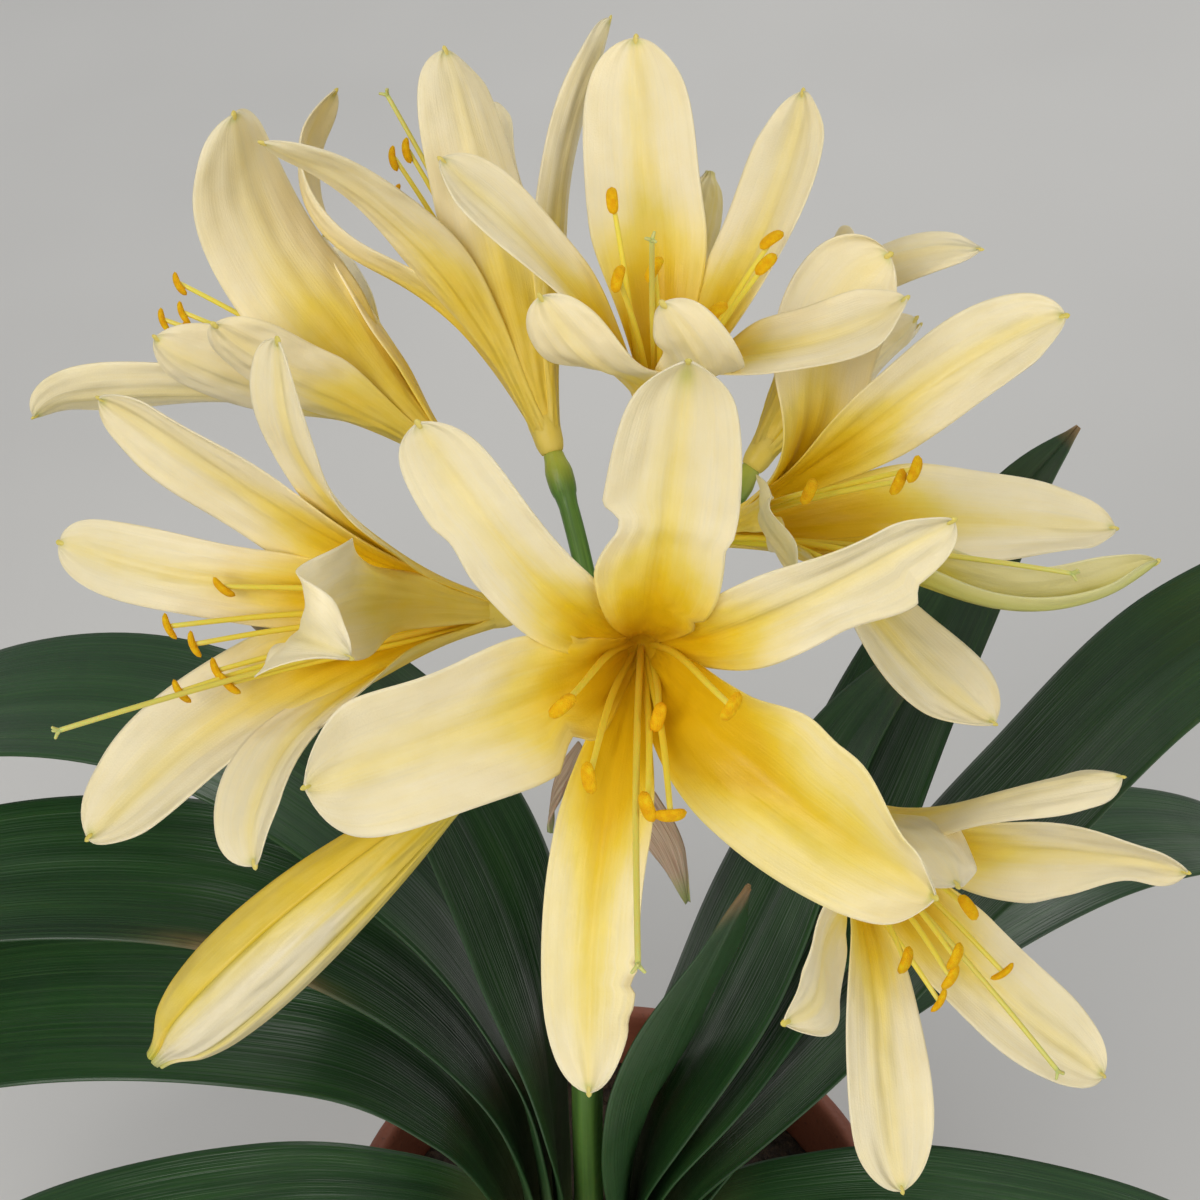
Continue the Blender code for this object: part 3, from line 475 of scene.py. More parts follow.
def lofted(rings):
    """A closed body through rings of points, its two ends closed by fans of triangles."""
    rings = np.asarray(rings, float)
    rows, cols = rings.shape[:2]
    points = np.concatenate([rings.reshape(-1, 3), rings[0].mean(0)[None], rings[-1].mean(0)[None]])
    index = np.arange(rows * cols).reshape(rows, cols)
    after = np.roll(index, -1, axis=1)
    faces = np.stack([index[:-1], after[:-1], after[1:], index[1:]], axis=-1).reshape(-1, 4).tolist()
    first = rows * cols
    for j, k in zip(index[0].tolist(), after[0].tolist()):
        faces += [(first, k, j), (first + 1, first - cols + j, first - cols + k)]
    return points, faces


def level_ring(turn, x, y, z):
    return np.stack([x * np.cos(turn), y * np.sin(turn), np.full(len(turn), z)], axis=-1)


def swept(path, a_side, b_side, ring, flat=1.0):
    """Rings of points round a path, with the radii that ring holds row by row."""
    turn = around(ring.shape[1])
    return (path[:, None] + a_side * (ring * np.cos(turn))[..., None]
            + b_side * (ring * np.sin(turn) * flat)[..., None])


def pipe(path, radii, sides, lobes=0.0):
    """Rings of a round or three-lobed tube, with rounded ends."""
    along = tangents(path)
    heads = [path[0] - along[0] * radii[0] * k for k in (0.5, 0.3)]
    tails = [path[-1] + along[-1] * radii[-1] * k for k in (0.4, 0.7)]
    path = np.vstack([heads, path, tails])
    radii = np.concatenate([radii[0] * np.array([0.4, 0.85]), radii, radii[-1] * np.array([0.8, 0.35])])
    a_side, b_side = cross_frames(path)
    ring = radii[:, None] * (1 + lobes * np.cos(3 * around(sides)))
    return swept(path, a_side[:, None], b_side[:, None], ring)


def crowded(count, power):
    """Places across a blade from -1 to 1, closer together at its edges, for a clean margin."""
    v = np.linspace(-1.0, 1.0, count)
    return np.sign(v) * (1 - (1 - np.abs(v)) ** power)


def edge_waves(v, st, size, power, counts):
    """Waves that grow towards a blade's edges, each edge with its own phase."""
    count = rng.uniform(*counts)
    first, second = rng.uniform(0, math.tau, 2)
    phase = np.where(v > 0, first, second)
    return size * np.abs(v) ** power * np.sin(math.tau * count * st[:, None] + phase)


# ---- materials


class Look:
    """A node material on a Principled shader, built by short calls."""

    def __init__(self, name, **sockets):
        self.mat = bpy.data.materials.new(name)
        self.mat.use_nodes = True
        self.tree = self.mat.node_tree
        self.shader = self.tree.nodes["Principled BSDF"]
        for key, value in sockets.items():
            self.shader.inputs[key.replace("_", " ")].default_value = value

    def put(self, value, socket):
        if isinstance(value, bpy.types.NodeSocket):
            self.tree.links.new(value, socket)
        else:
            socket.default_value = (*value, 1.0) if socket.type == "RGBA" else value

    def node(self, kind, inputs, **settings):
        """Adds a node, and gives its outputs."""
        n = self.tree.nodes.new("ShaderNode" + kind)
        for key, value in settings.items():
            setattr(n, key, value)
        for key, value in inputs.items():
            self.put(value, n.inputs[key])
        return n.outputs

    def place(self):
        return self.node("TexCoord", {})["Object"]

    def split(self, vector):
        return self.node("SeparateXYZ", {0: vector})[:]

    def mark(self, name):
        """The three numbers that the mesh holds under this name."""
        return self.split(self.node("Attribute", {}, attribute_name=name)["Vector"])

    def math(self, op, a, b, clamp=False):
        return self.node("Math", {0: a, 1: b}, operation=op, use_clamp=clamp)[0]

    def times(self, a, b):
        return self.math("MULTIPLY", a, b)

    def swing(self, value, much):
        """A noise about zero, of the given height."""
        return self.times(self.math("SUBTRACT", value, 0.5), much)

    def noise(self, scale, detail=3.0, rough=0.5, bend=0.0, at=None):
        return self.node("TexNoise", {
            "Vector": self.place() if at is None else at, "Scale": scale, "Detail": detail,
            "Roughness": rough, "Distortion": bend})["Fac"]

    def drawn(self, places, scales, far, detail=3.0, bend=0.0):
        """Noise drawn out by a scale of its own in each of two ways, or neither, and set by a third."""
        ways = {i: self.times(place, scale) for i, (place, scale) in enumerate(zip(places, scales))}
        at = self.node("CombineXYZ", {**ways, 2: far})[0]
        return self.noise(1.0, detail, bend=bend, at=at)

    def cells(self, scale):
        return self.node("TexVoronoi", {"Vector": self.place(), "Scale": scale})["Distance"]

    def ramp(self, factor, *stops):
        """A run of colours; each stop is its place, red, green and blue."""
        color = self.node("ValToRGB", {0: factor})[0]
        ends = color.node.color_ramp.elements
        while len(ends) < len(stops):
            ends.new(0.5)
        for end, (at, *rgb) in zip(ends, stops):
            end.position = at
            end.color = (*rgb, 1.0)
        return color

    def dye(self, factor, *stops):
        self.color = self.ramp(factor, *stops)

    def lay(self, share, color):
        """Lays a share of another colour over the one so far."""
        self.color = self.node("Mix", {0: share, 6: self.color, 7: color}, data_type="RGBA")[2]

    def span(self, value, low, high, to_low, to_high):
        return self.node("MapRange", dict(enumerate((value, low, high, to_low, to_high))))[0]

    def bump(self, height, strength, distance, under=None):
        inputs = {"Height": height, "Strength": strength, "Distance": distance}
        if under is not None:
            inputs["Normal"] = under
        return self.node("Bump", inputs)[0]

    def wear(self, roughness, normal=None):
        """Joins the surface to the shader, and gives the finished material."""
        self.put(self.color, self.shader.inputs["Base Color"])
        self.put(roughness, self.shader.inputs["Roughness"])
        if normal is not None:
            self.put(normal, self.shader.inputs["Normal"])
        return self.mat


def petal_look():
    """Cream tepals: gold in the throat and along the rib, fine veins, green-yellow beaks."""
    look = Look("petal", Subsurface_Weight=0.3, Subsurface_Scale=0.0025, Specular_IOR_Level=0.36,
                Subsurface_Radius=(1.0, 0.88, 0.45))
    look.shader.subsurface_method = "BURLEY"
    s, v, phase = look.mark("place")
    gold, green, dry = look.mark("tone")
    far = look.times(phase, 9.0)
    broad = look.drawn((s, v), (3.0, 4.0), far, 2.0)
    fine = look.drawn((s, v), (3.0, 22.0), far, 2.0, 0.15)
    swell = look.drawn((s, v), (5.0, 1.5), far, 1.0)
    mottle = look.noise(260.0)
    tint = look.math("ADD", gold, look.swing(fine, 0.13))
    tint = look.math("ADD", tint, look.swing(broad, 0.22), clamp=True)
    look.dye(tint, (0.0, 0.89, 0.78, 0.51), (0.2, 0.88, 0.74, 0.34), (0.45, 0.85, 0.665, 0.12),
             (0.75, 0.8, 0.55, 0.018), (1.0, 0.72, 0.44, 0.003))
    bare = look.math("SUBTRACT", 1.0, gold, clamp=True)
    look.lay(look.times(look.span(fine, 0.42, 0.3, 0.0, 0.1), bare), (0.62, 0.55, 0.32))
    look.lay(look.times(look.span(mottle, 0.35, 0.65, 0.0, 0.12), bare), (0.92, 0.88, 0.74))
    look.lay(green, (0.46, 0.5, 0.075))
    look.lay(dry, (0.3, 0.17, 0.05))
    relief = look.bump(fine, 0.14, 0.0006, look.bump(look.cells(2600.0), 0.1, 0.0002))
    return look.wear(look.span(mottle, 0.3, 0.7, 0.38, 0.52), look.bump(swell, 0.55, 0.004, relief))


def anther_look():
    """Orange anthers dusted with pollen."""
    look = Look("anther", Subsurface_Weight=0.1, Subsurface_Scale=0.001, Specular_IOR_Level=0.2)
    grain = look.cells(5200.0)
    look.dye(look.noise(900.0), (0.3, 0.87, 0.41, 0.003), (0.55, 0.95, 0.53, 0.004),
             (0.75, 0.97, 0.65, 0.015))
    return look.wear(look.span(grain, 0.0, 0.7, 0.7, 0.9), look.bump(grain, 0.6, 0.0003))


def filament_look():
    """Filaments and styles: gold at the foot, pale cream-green at the tip."""
    look = Look("filament", Subsurface_Weight=0.25, Subsurface_Scale=0.0015)
    fleck = look.noise(700.0, 2.0)
    tint = look.math("ADD", look.mark("place")[0], look.swing(fleck, 0.25), clamp=True)
    look.dye(tint, (0.0, 0.88, 0.54, 0.008), (0.35, 0.9, 0.68, 0.03), (0.8, 0.9, 0.76, 0.09),
             (1.0, 0.86, 0.78, 0.2))
    look.lay(look.mark("tone")[1], (0.55, 0.6, 0.2))
    return look.wear(look.span(fleck, 0.3, 0.7, 0.35, 0.5), look.bump(fleck, 0.2, 0.0002))


def stalk_look():
    """Green stalks, yellower at the ovaries and pale at the foot."""
    look = Look("stalk", Subsurface_Weight=0.12, Subsurface_Scale=0.002)
    s, v, phase = look.mark("place")
    ovary, pale, _ = look.mark("tone")
    streak = look.drawn((s, v), (5.0, 14.0), phase)
    mottle = look.noise(160.0)
    look.dye(streak, (0.25, 0.075, 0.17, 0.03), (0.6, 0.13, 0.27, 0.045), (0.85, 0.2, 0.36, 0.075))
    look.lay(ovary, (0.42, 0.47, 0.06))
    look.lay(pale, (0.6, 0.62, 0.34))
    look.lay(look.span(mottle, 0.5, 0.8, 0.0, 0.25), (0.07, 0.16, 0.03))
    return look.wear(look.span(mottle, 0.3, 0.7, 0.33, 0.5), look.bump(streak, 0.25, 0.0006))


def bract_look():
    """Dry papery bracts: pinkish straw with darker veins and a green tip."""
    look = Look("bract", Subsurface_Weight=0.2, Subsurface_Scale=0.001)
    s, v, phase = look.mark("place")
    streak = look.drawn((s, v), (2.0, 16.0), phase)
    look.dye(streak, (0.3, 0.34, 0.2, 0.12), (0.5, 0.55, 0.4, 0.27), (0.75, 0.68, 0.56, 0.42))
    look.lay(look.span(s, 0.72, 0.95, 0.0, 0.8), (0.28, 0.38, 0.1))
    return look.wear(look.span(streak, 0.2, 0.8, 0.5, 0.75), look.bump(streak, 0.5, 0.0008))


def leaf_look():
    """Dark strap leaves: parallel veins, a satin surface, pale sheaths and dry ends."""
    look = Look("leaf", Subsurface_Weight=0.06, Subsurface_Scale=0.002, Coat_Weight=0.12, Coat_Roughness=0.25)
    s, v, phase = look.mark("place")
    sheath, dry, under = look.mark("tone")
    far = look.times(phase, 11.0)
    fine = look.drawn((s, v), (3.0, 34.0), far)
    broad = look.drawn((s, v), (5.0, 3.0), far)
    mottle = look.noise(90.0, 4.0)
    look.dye(broad, (0.25, 0.01, 0.036, 0.01), (0.55, 0.018, 0.062, 0.015), (0.85, 0.034, 0.098, 0.022))
    look.lay(look.span(fine, 0.5, 0.72, 0.0, 0.45), (0.045, 0.12, 0.028))
    look.lay(under, (0.05, 0.125, 0.04))
    look.lay(look.span(mottle, 0.55, 0.8, 0.0, 0.3), (0.008, 0.028, 0.01))
    look.lay(sheath, (0.42, 0.48, 0.2))
    look.lay(dry, look.ramp(mottle, (0.3, 0.2, 0.1, 0.035), (0.7, 0.42, 0.27, 0.12)))
    rough = look.math("ADD", look.span(mottle, 0.3, 0.7, 0.3, 0.42), look.times(dry, 0.35))
    return look.wear(rough, look.bump(fine, 0.35, 0.001, look.bump(mottle, 0.15, 0.0015)))


def terracotta_look():
    """Fired red clay with thrown rings, specks and a pale bloom of lime low down."""
    look = Look("terracotta")
    x, y, height = look.split(look.place())
    cloud = look.noise(22.0, 4.0, 0.6)
    speck = look.noise(700.0, 2.0)
    rings = look.drawn((), (), look.times(height, 900.0), 2.0)
    smear = look.drawn((x, y), (26.0, 26.0), look.times(height, 150.0), 4.0)
    look.dye(cloud, (0.3, 0.2, 0.052, 0.026), (0.55, 0.285, 0.082, 0.04), (0.8, 0.36, 0.125, 0.066))
    look.lay(look.span(smear, 0.5, 0.75, 0.0, 0.45), (0.155, 0.05, 0.03))
    lime = look.times(look.span(height, 0.07, 0.01, 0.0, 0.5), look.span(cloud, 0.42, 0.62, 0.0, 1.0))
    look.lay(lime, (0.56, 0.38, 0.29))
    look.lay(look.span(speck, 0.62, 0.72, 0.0, 0.55), (0.1, 0.035, 0.022))
    relief = look.bump(speck, 0.3, 0.0006, look.bump(rings, 0.22, 0.0006))
    return look.wear(look.span(cloud, 0.3, 0.7, 0.52, 0.74), relief)


def soil_look():
    """Dark peat with lighter fibres and bits of bark."""
    look = Look("soil")
    grain = look.noise(420.0, 5.0, 0.65)
    look.dye(grain, (0.3, 0.012, 0.008, 0.005), (0.52, 0.04, 0.024, 0.014),
             (0.68, 0.09, 0.055, 0.03), (0.85, 0.2, 0.14, 0.085))
    look.lay(look.span(look.cells(260.0), 0.0, 0.35, 0.6, 0.0), (0.06, 0.036, 0.02))
    return look.wear(look.span(grain, 0.3, 0.8, 0.8, 0.97), look.bump(grain, 0.9, 0.0015))


def floor_look():
    """A plain pale floor with a faint cloudiness."""
    look = Look("floor")
    cloud = look.noise(3.0)
    look.dye(cloud, (0.3, 0.66, 0.65, 0.63), (0.7, 0.72, 0.71, 0.69))
    return look.wear(look.span(cloud, 0.3, 0.7, 0.55, 0.7))


LOOKS = {
    "petal": petal_look(), "filament": filament_look(), "anther": anther_look(), "stalk": stalk_look(),
    "leaf": leaf_look(), "bract": bract_look(), "terracotta": terracotta_look(), "soil": soil_look(),
}

# ---- blooms


def petal_line(st, spread, length, curl, start, twist=0.0, bend=0.0, whorl=0, hook=0.0, hook_from=HOOK_FROM):
    """Middle line of a tepal or thread in the bloom's own axes, with its cross and outward axes."""
    s = steps(LINE_STEPS + 1)
    opening = TUBE_ANGLE + (spread - TUBE_ANGLE) * ease(s, 0.08, 0.6) + curl * ease(s, 0.5, 1.0)
    th = np.radians(opening - hook * ease(s, hook_from, 1.0))
    ps = np.radians(bend * ease(s, 0.15, 0.95))
    tw = np.radians(twist * ease(s, 0.2, 1.0))[:, None]
    along = np.stack([np.sin(th) * np.cos(ps), np.sin(ps), np.cos(th) * np.cos(ps)], axis=-1)
    centre = np.zeros((len(s), 3))
    centre[1:] = np.cumsum((along[1:] + along[:-1]) / 2 * (length / 1000) / LINE_STEPS, axis=0)
    centre[:, 0] += start - TUBE_PINCH[whorl] * (1 - ease(s, 0.0, TUBE_PINCH_END[whorl]))
    out = np.stack([np.cos(th), 0 * th, -np.sin(th)], axis=-1)
    cross = np.stack([-np.sin(ps) * np.sin(th), np.cos(ps), -np.sin(ps) * np.cos(th)], axis=-1)
    across = cross * np.cos(tw) + out * np.sin(tw)
    outward = out * np.cos(tw) - cross * np.sin(tw)
    return [looked_up(st, s, table) for table in (centre, across, outward)]


def half_widths(st, width, marks):
    """Half the width on each side at each station, less its nicks and steps."""
    rise = CLAW_WIDTH + (1 - CLAW_WIDTH) * ease(st, 0.06, FULL_WIDTH)
    t = np.clip((st - WIDEST) / (1 - WIDEST), 0.0, 1.0)
    half = width / 2000 * np.maximum(rise * (1 - t ** marks["blunt"]) ** 0.55, 0.07)
    sides = {-1: half, 1: half}
    for at, side, depth, wide in marks["nicks"]:
        shape = np.clip(1 - np.abs(st - at) / wide, 0.0, 1.0) ** 0.7
        sides[side] = sides[side] * (1 - depth * shape)
    for at, side, depth, below, above in marks["steps"]:
        shape = ease(st, at - below, at) * (1 - ease(st, at, at + above))
        sides[side] = sides[side] * (1 - depth * shape)
    return sides


def run_out(step):
    """Distances from the middle column, summed over the steps between columns."""
    total = np.pad(np.cumsum(step, axis=1), ((0, 0), (1, 0)))
    middle = total.shape[1] // 2
    return (total - total[:, middle:middle + 1])[..., None]


def tepal_surface(spec, marks):
    """One tepal in the bloom's own axes: its middle surface, half its thickness, and its two marks."""
    _, spread, length, width, twist, bend, curl, cup, whorl = spec
    hook = marks.get("hook", rng.uniform(4, 16))
    st = 1 - (1 - steps(TEPAL_ROWS)) ** 1.25
    centre, across, outward = petal_line(
        st, spread, length * marks["longer"], curl, INNER_RADIUS + WHORL_STEP * whorl, twist, bend, whorl,
        hook, marks["hook_from"])
    sides = half_widths(st, width, marks)
    # near its foot the tepal wraps the tube, and further on it has its own cupping
    wrap = np.clip((sides[-1] + sides[1]) / 2 / np.hypot(centre[:, 0], centre[:, 1]), 0.0, 1.2)
    own = ease(st, 0.1, 0.45)
    tip = ease(st, 0.88, 1.0)
    k = wrap * (1 - own) + math.radians(cup) * own + math.radians(marks["tip_cup"]) * tip
    v = crowded(TEPAL_COLUMNS, 1.15)
    lean = k[:, None] * v + math.radians(marks["keel"]) * np.tanh(v / 0.12) * ease(st, 0.15, 0.5)[:, None]
    step = np.diff(v) * np.where(v[1:] > 0.0, sides[1][:, None], sides[-1][:, None])
    mean = (lean[:, 1:] + lean[:, :-1]) / 2
    normal = outward[:, None] * np.cos(lean)[..., None] + across[:, None] * np.sin(lean)[..., None]
    # rib, soft lengthwise channels, waved margins and folds
    body = (ease(st, 0.12, 0.4) * (1 - ease(st, 0.85, 0.98)))[:, None]
    lift = TEPAL_RIB * bell(v, 0.0, 0.11) * body
    lift = lift + TEPAL_CHANNEL * np.cos(math.tau * v * 2.4) * body * (1 - 0.5 * np.abs(v))
    size = marks.get("wave", rng.uniform(0.25, 0.6)) / 1000
    lift = lift + edge_waves(v, st, size, 2.2, (1.6, 2.8)) * body
    for at, wide, height in marks["folds"]:
        lift = lift - height / 1000 * bell(st, at, wide)[:, None]
    sheet = centre[:, None] + across[:, None] * run_out(step * np.cos(mean))
    sheet = sheet - outward[:, None] * run_out(step * np.sin(mean)) + normal * lift[..., None]
    thick = TEPAL_THICKNESS / 2 * (1 - 0.6 * np.abs(v) ** 3) * (1 - 0.35 * tip[:, None])
    place = (st[:, None], v, rng.uniform(0, 1))
    return sheet, normal * thick[..., None], place, tepal_tone(st[:, None], v, marks)


def tepal_tone(s, v, marks):
    """Gold, green and dry shares over a tepal's grid."""
    throat = 1.0 - 0.35 * ease(s, 0.12, 0.34) - 0.65 * ease(s, 0.24, 0.62)
    stripe = bell(v, 0.0, 0.95 - 0.6 * ease(s, 0.25, 0.7)) * (0.2 + 0.42 * (1 - ease(s, 0.34, 0.82)))
    gold = throat * (0.78 + 0.22 * bell(v, 0.0, 0.8)) + stripe * marks["gold"] * ease(s, 0.05, 0.35)
    gold = gold + marks["wash"] * (1 - ease(s, 0.75, 1.0)) * bell(v, 0.0, 1.3)
    at, across, much = marks["dimple"]
    green = 0.7 * ease(s, 0.972, 0.995) * bell(v, 0.0, 0.45) * marks["beak"]
    green = green + marks["green"] * ease(s, 0.15, 0.45) * (0.35 + 0.65 * bell(v, -0.5, 0.6))
    green = green + much * bell(s, at, 0.045) * bell(v, across, 0.22)
    dry = 0.0 * green
    for at, side, depth, wide in marks["nicks"]:
        dry = np.maximum(dry, 0.45 * bell(s, at, wide * 1.6) * ease(v * side, 1 - 1.6 * depth, 1.0))
    return np.clip(gold, 0.0, 1.0), np.clip(green, 0.0, 1.0), dry


def add_beak(tepals, sheet):
    """The small thickened point that ends a tepal."""
    middle = sheet[:, TEPAL_COLUMNS // 2]
    along = unit(middle[-1] - middle[-4])
    across = unit(sheet[-6, -1] - sheet[-6, 0])
    t = np.linspace(-1.0, 1.0, 11)
    path = middle[-1] + along * (BEAK_LENGTH * (0.5 * t - 0.15))[:, None]
    radii = BEAK_RADIUS * rng.uniform(0.8, 1.15) * (1 - np.abs(t) ** 2.2) ** 0.6 + 0.00005
    body = lofted(swept(path, across, np.cross(along, across), np.tile(radii[:, None], 12), 0.62))
    tepals.add(body, (0.99, 0.0, rng.uniform(0, 1)), (0.42, rng.uniform(0.05, 0.28), rng.uniform(0, 0.06)))


def add_throat(tepals, foot, axes):
    """The fused tube that the tepals grow from, with a shallow golden dish inside its mouth."""
    turn = around(32)
    wave = 1 + 0.02 * np.cos(6 * turn)
    rings = TUBE_RINGS + DISH_RINGS
    points, faces = lofted([level_ring(turn, r * wave, r * wave, z) for r, z in rings])
    gold = [[TUBE_GOLD]] * len(TUBE_RINGS) + [[DISH_GOLD]] * len(DISH_RINGS)
    tepals.add((points @ axes.T + foot, faces), (0, 0, 0.5), (gold, 0, 0), (len(rings), len(turn)))


def thread_line(turn, spread, length, curl, start, rows, foot, axes):
    """Middle line of a filament or style, arched a little upward between its ends."""
    st = steps(rows)
    line = turned(petal_line(st, spread, length, curl, start)[0], turn, axes, foot)
    side = unit(np.cross(line[-1] - line[0], axes[:, 2]))
    arch = FILAMENT_BOW * (0.4 + 0.6 * abs(side[2])) * math.copysign(1.0, side[2])
    return st, line + side * (arch * np.sin(math.pi * st))[:, None]


def add_thread(threads, line, radii, green):
    points, faces = lofted(pipe(line, radii, THREAD_SIDES))
    share = steps(len(points) // THREAD_SIDES + 1)
    share = np.repeat(share, THREAD_SIDES)[:len(points)]
    threads.add((points, faces), (share, share, share), (0, green * share, 0))


def add_stamen(threads, anthers, spec, foot, axes):
    """A filament, and the slim, slightly bowed two-lobed anther held across its end."""
    st, line = thread_line(*spec[:3], STAMEN_CURL, STAMEN_START, 22, foot, axes)
    add_thread(threads, line, FILAMENT_RADIUS * (1.2 - 0.45 * st), 0.0)
    a = math.radians(spec[3])
    lean = math.radians(ANTHER_LEAN)
    lie = np.array([math.cos(a), math.sin(a) * math.sin(lean), math.sin(a) * math.cos(lean)])
    side = unit(np.cross(lie, unit(line[-1] - line[-2])))
    out = np.cross(side, lie)
    t = np.linspace(-1.0, 1.0, 15)
    path = line[-1] + ANTHER_LENGTH * (lie * (t / 2)[:, None] + out * (0.1 * (1 - t * t))[:, None])
    radii = ANTHER_RADIUS * (1 - np.abs(t) ** 3.0) ** 0.5 * 0.95 + 0.00008
    ring = radii[:, None] * (1 + 0.2 * np.cos(2 * around(14)))
    anthers.add(lofted(swept(path, side, out, ring, 0.85)), (0, 0, rng.uniform(0, 1)))


def add_style(threads, spec, foot, axes):
    """The style, longer than the stamens, and its three short branches."""
    st, line = thread_line(*spec, STYLE_CURL, STYLE_START, 30, foot, axes)
    add_thread(threads, line, STYLE_RADIUS * (1.25 - 0.35 * st), 0.55)
    along = unit(line[-1] - line[-2])
    a_side, b_side = cross_frames(line)
    reach = steps(6)[:, None]
    for k in range(3):
        a = math.tau * k / 3 + 0.6
        out = a_side[-1] * math.cos(a) + b_side[-1] * math.sin(a)
        branch = line[-1] + along * 0.0012 * reach + out * 0.0011 * reach ** 1.6
        threads.add(lofted(pipe(branch, np.linspace(0.00042, 0.00026, 6), 8)), (1, 1, 1), (0, 0.8, 0))


def make_bloom(name, spec):
    foot, faces, specs, stamens, style = spec
    foot = np.array(foot) / 1000
    axes = bloom_axes(*faces)
    tepals = Mesh()
    threads = Mesh()
    anthers = Mesh()
    add_throat(tepals, foot, axes)
    outside = np.array([OUTSIDE_GOLD, 1.0])[:, None, None]
    shape = (2, TEPAL_ROWS, TEPAL_COLUMNS)
    marks = MARKS.get(name, {})
    for k, tep in enumerate(specs):
        sheet, shift, place, (gold, green, dry) = tepal_surface(tep, {**PLAIN, **marks.get(k, {})})
        sheet = turned(sheet, tep[0], axes, foot)
        shift = turned(shift, tep[0], axes, 0.0)
        tepals.add(sheet_body(sheet, shift), place, (gold * outside, green, dry), shape)
        add_beak(tepals, sheet)
    for stamen in stamens:
        add_stamen(threads, anthers, stamen, foot, axes)
    add_style(threads, style, foot, axes)
    tepals.piece(name, "tepals", "petal")
    threads.piece(name, "filaments", "filament")
    anthers.piece(name, "anthers", "anther")


# ---- stalks and buds


def bud_line(foot, tip, bow, count):
    """Middle line of a bud, bowed up between its ends; all given in mm."""
    foot = np.array(foot) / 1000
    tip = np.array(tip) / 1000
    t = steps(count)[:, None]
    return foot + (tip - foot) * t + np.array([0.0, 0.0, bow / 1000]) * 4 * t * (1 - t)


def add_pedicel(mesh, foot, facing, below, size):
    """A flower stalk from the umbel to a bloom or bud, ending in an ovary of the given size."""
    start = np.array(UMBEL_CENTRE)
    top = foot - facing * (below + GAP)
    low = top - facing * OVARY_LENGTH * size
    reach = np.linalg.norm(low - start)
    lift = unit(unit(low - start) + np.array([0.0, 0.0, 0.55]))
    t = steps(22)[:, None]
    stem = ((1 - t) ** 3 * start + 3 * t * (1 - t) ** 2 * (start + lift * reach * 0.4)
            + 3 * t * t * (1 - t) * (low - facing * reach * 0.3) + t ** 3 * low)
    k = np.linspace(0.08, 1.0, 14)
    wide = OVARY_RADIUS * size
    ovary = NECK_RADIUS + (wide - NECK_RADIUS) * np.sin(math.pi * (k * 0.92) ** 0.8) ** 0.8
    ovary = np.where(k < 0.55, ovary, wide * (1 - 0.26 * ease(k, 0.55, 1)))
    radii = np.concatenate([[PEDICEL_RADIUS] * 21, [NECK_RADIUS], ovary])
    rings = pipe(np.vstack([stem, low + (top - low) * k[:, None]]), radii, PEDICEL_SIDES, lobes=0.05)
    share = np.concatenate([[0.0] * 24, ease(k, 0.0, 0.9), [1.0, 1.0]])[:, None]
    place = (steps(len(rings))[:, None], np.linspace(-1, 1, PEDICEL_SIDES), foot[0] * 40)
    mesh.add(lofted(rings), place, (share, 0, 0), rings.shape[:2])


def add_peduncle(mesh):
    """The flattened main stalk, pale at its foot, and the knob that the flower stalks leave."""
    st = steps(STALK_ROWS)
    swell = (0.95 + 0.1 * (1 - ease(st, 0.0, 0.3)) + 0.15 * ease(st, 0.85, 1.0))[:, None]
    turn = around(STALK_SIDES)
    ridge = 1 + 0.018 * np.cos(6 * turn)
    x = STALK_HALF_X * swell * np.cos(turn) * ridge
    y = STALK_HALF_Y * swell * np.sin(turn) * ridge
    rings = even_path(STALK_PATH, st)[:, None] + np.stack([x, y, 0 * x], axis=-1)
    pale = 0.8 * (1 - ease(st, 0.02, 0.3))[:, None]
    mesh.add(lofted(rings), (st[:, None], turn / math.pi - 1, 0), (0, pale, 0), x.shape)
    knob = []
    for a in np.linspace(-0.49 * math.pi, 0.49 * math.pi, 15):
        r = UMBEL_KNOB_RADIUS * math.cos(a)
        knob.append(level_ring(turn, 0.8 * r, r, UMBEL_KNOB_RADIUS * 0.75 * math.sin(a)))
    mesh.add(lofted(np.array(knob) + UMBEL_CENTRE), (0.5, 0.0, 0.3), (0.15, 0.0, 0.0))


def make_stalk():
    mesh = Mesh()
    add_peduncle(mesh)
    for foot, faces, *_ in BLOOMS.values():
        add_pedicel(mesh, np.array(foot) / 1000, bloom_axes(*faces)[:, 2], TUBE_FOOT, 1.0)
    for foot, tip, _, bow in BUDS.values():
        line = bud_line(foot, tip, bow, 10)
        add_pedicel(mesh, line[0], unit(line[1] - line[0]), 0.0, 0.8)
    mesh.piece("flower_stalk", "skin", "stalk")


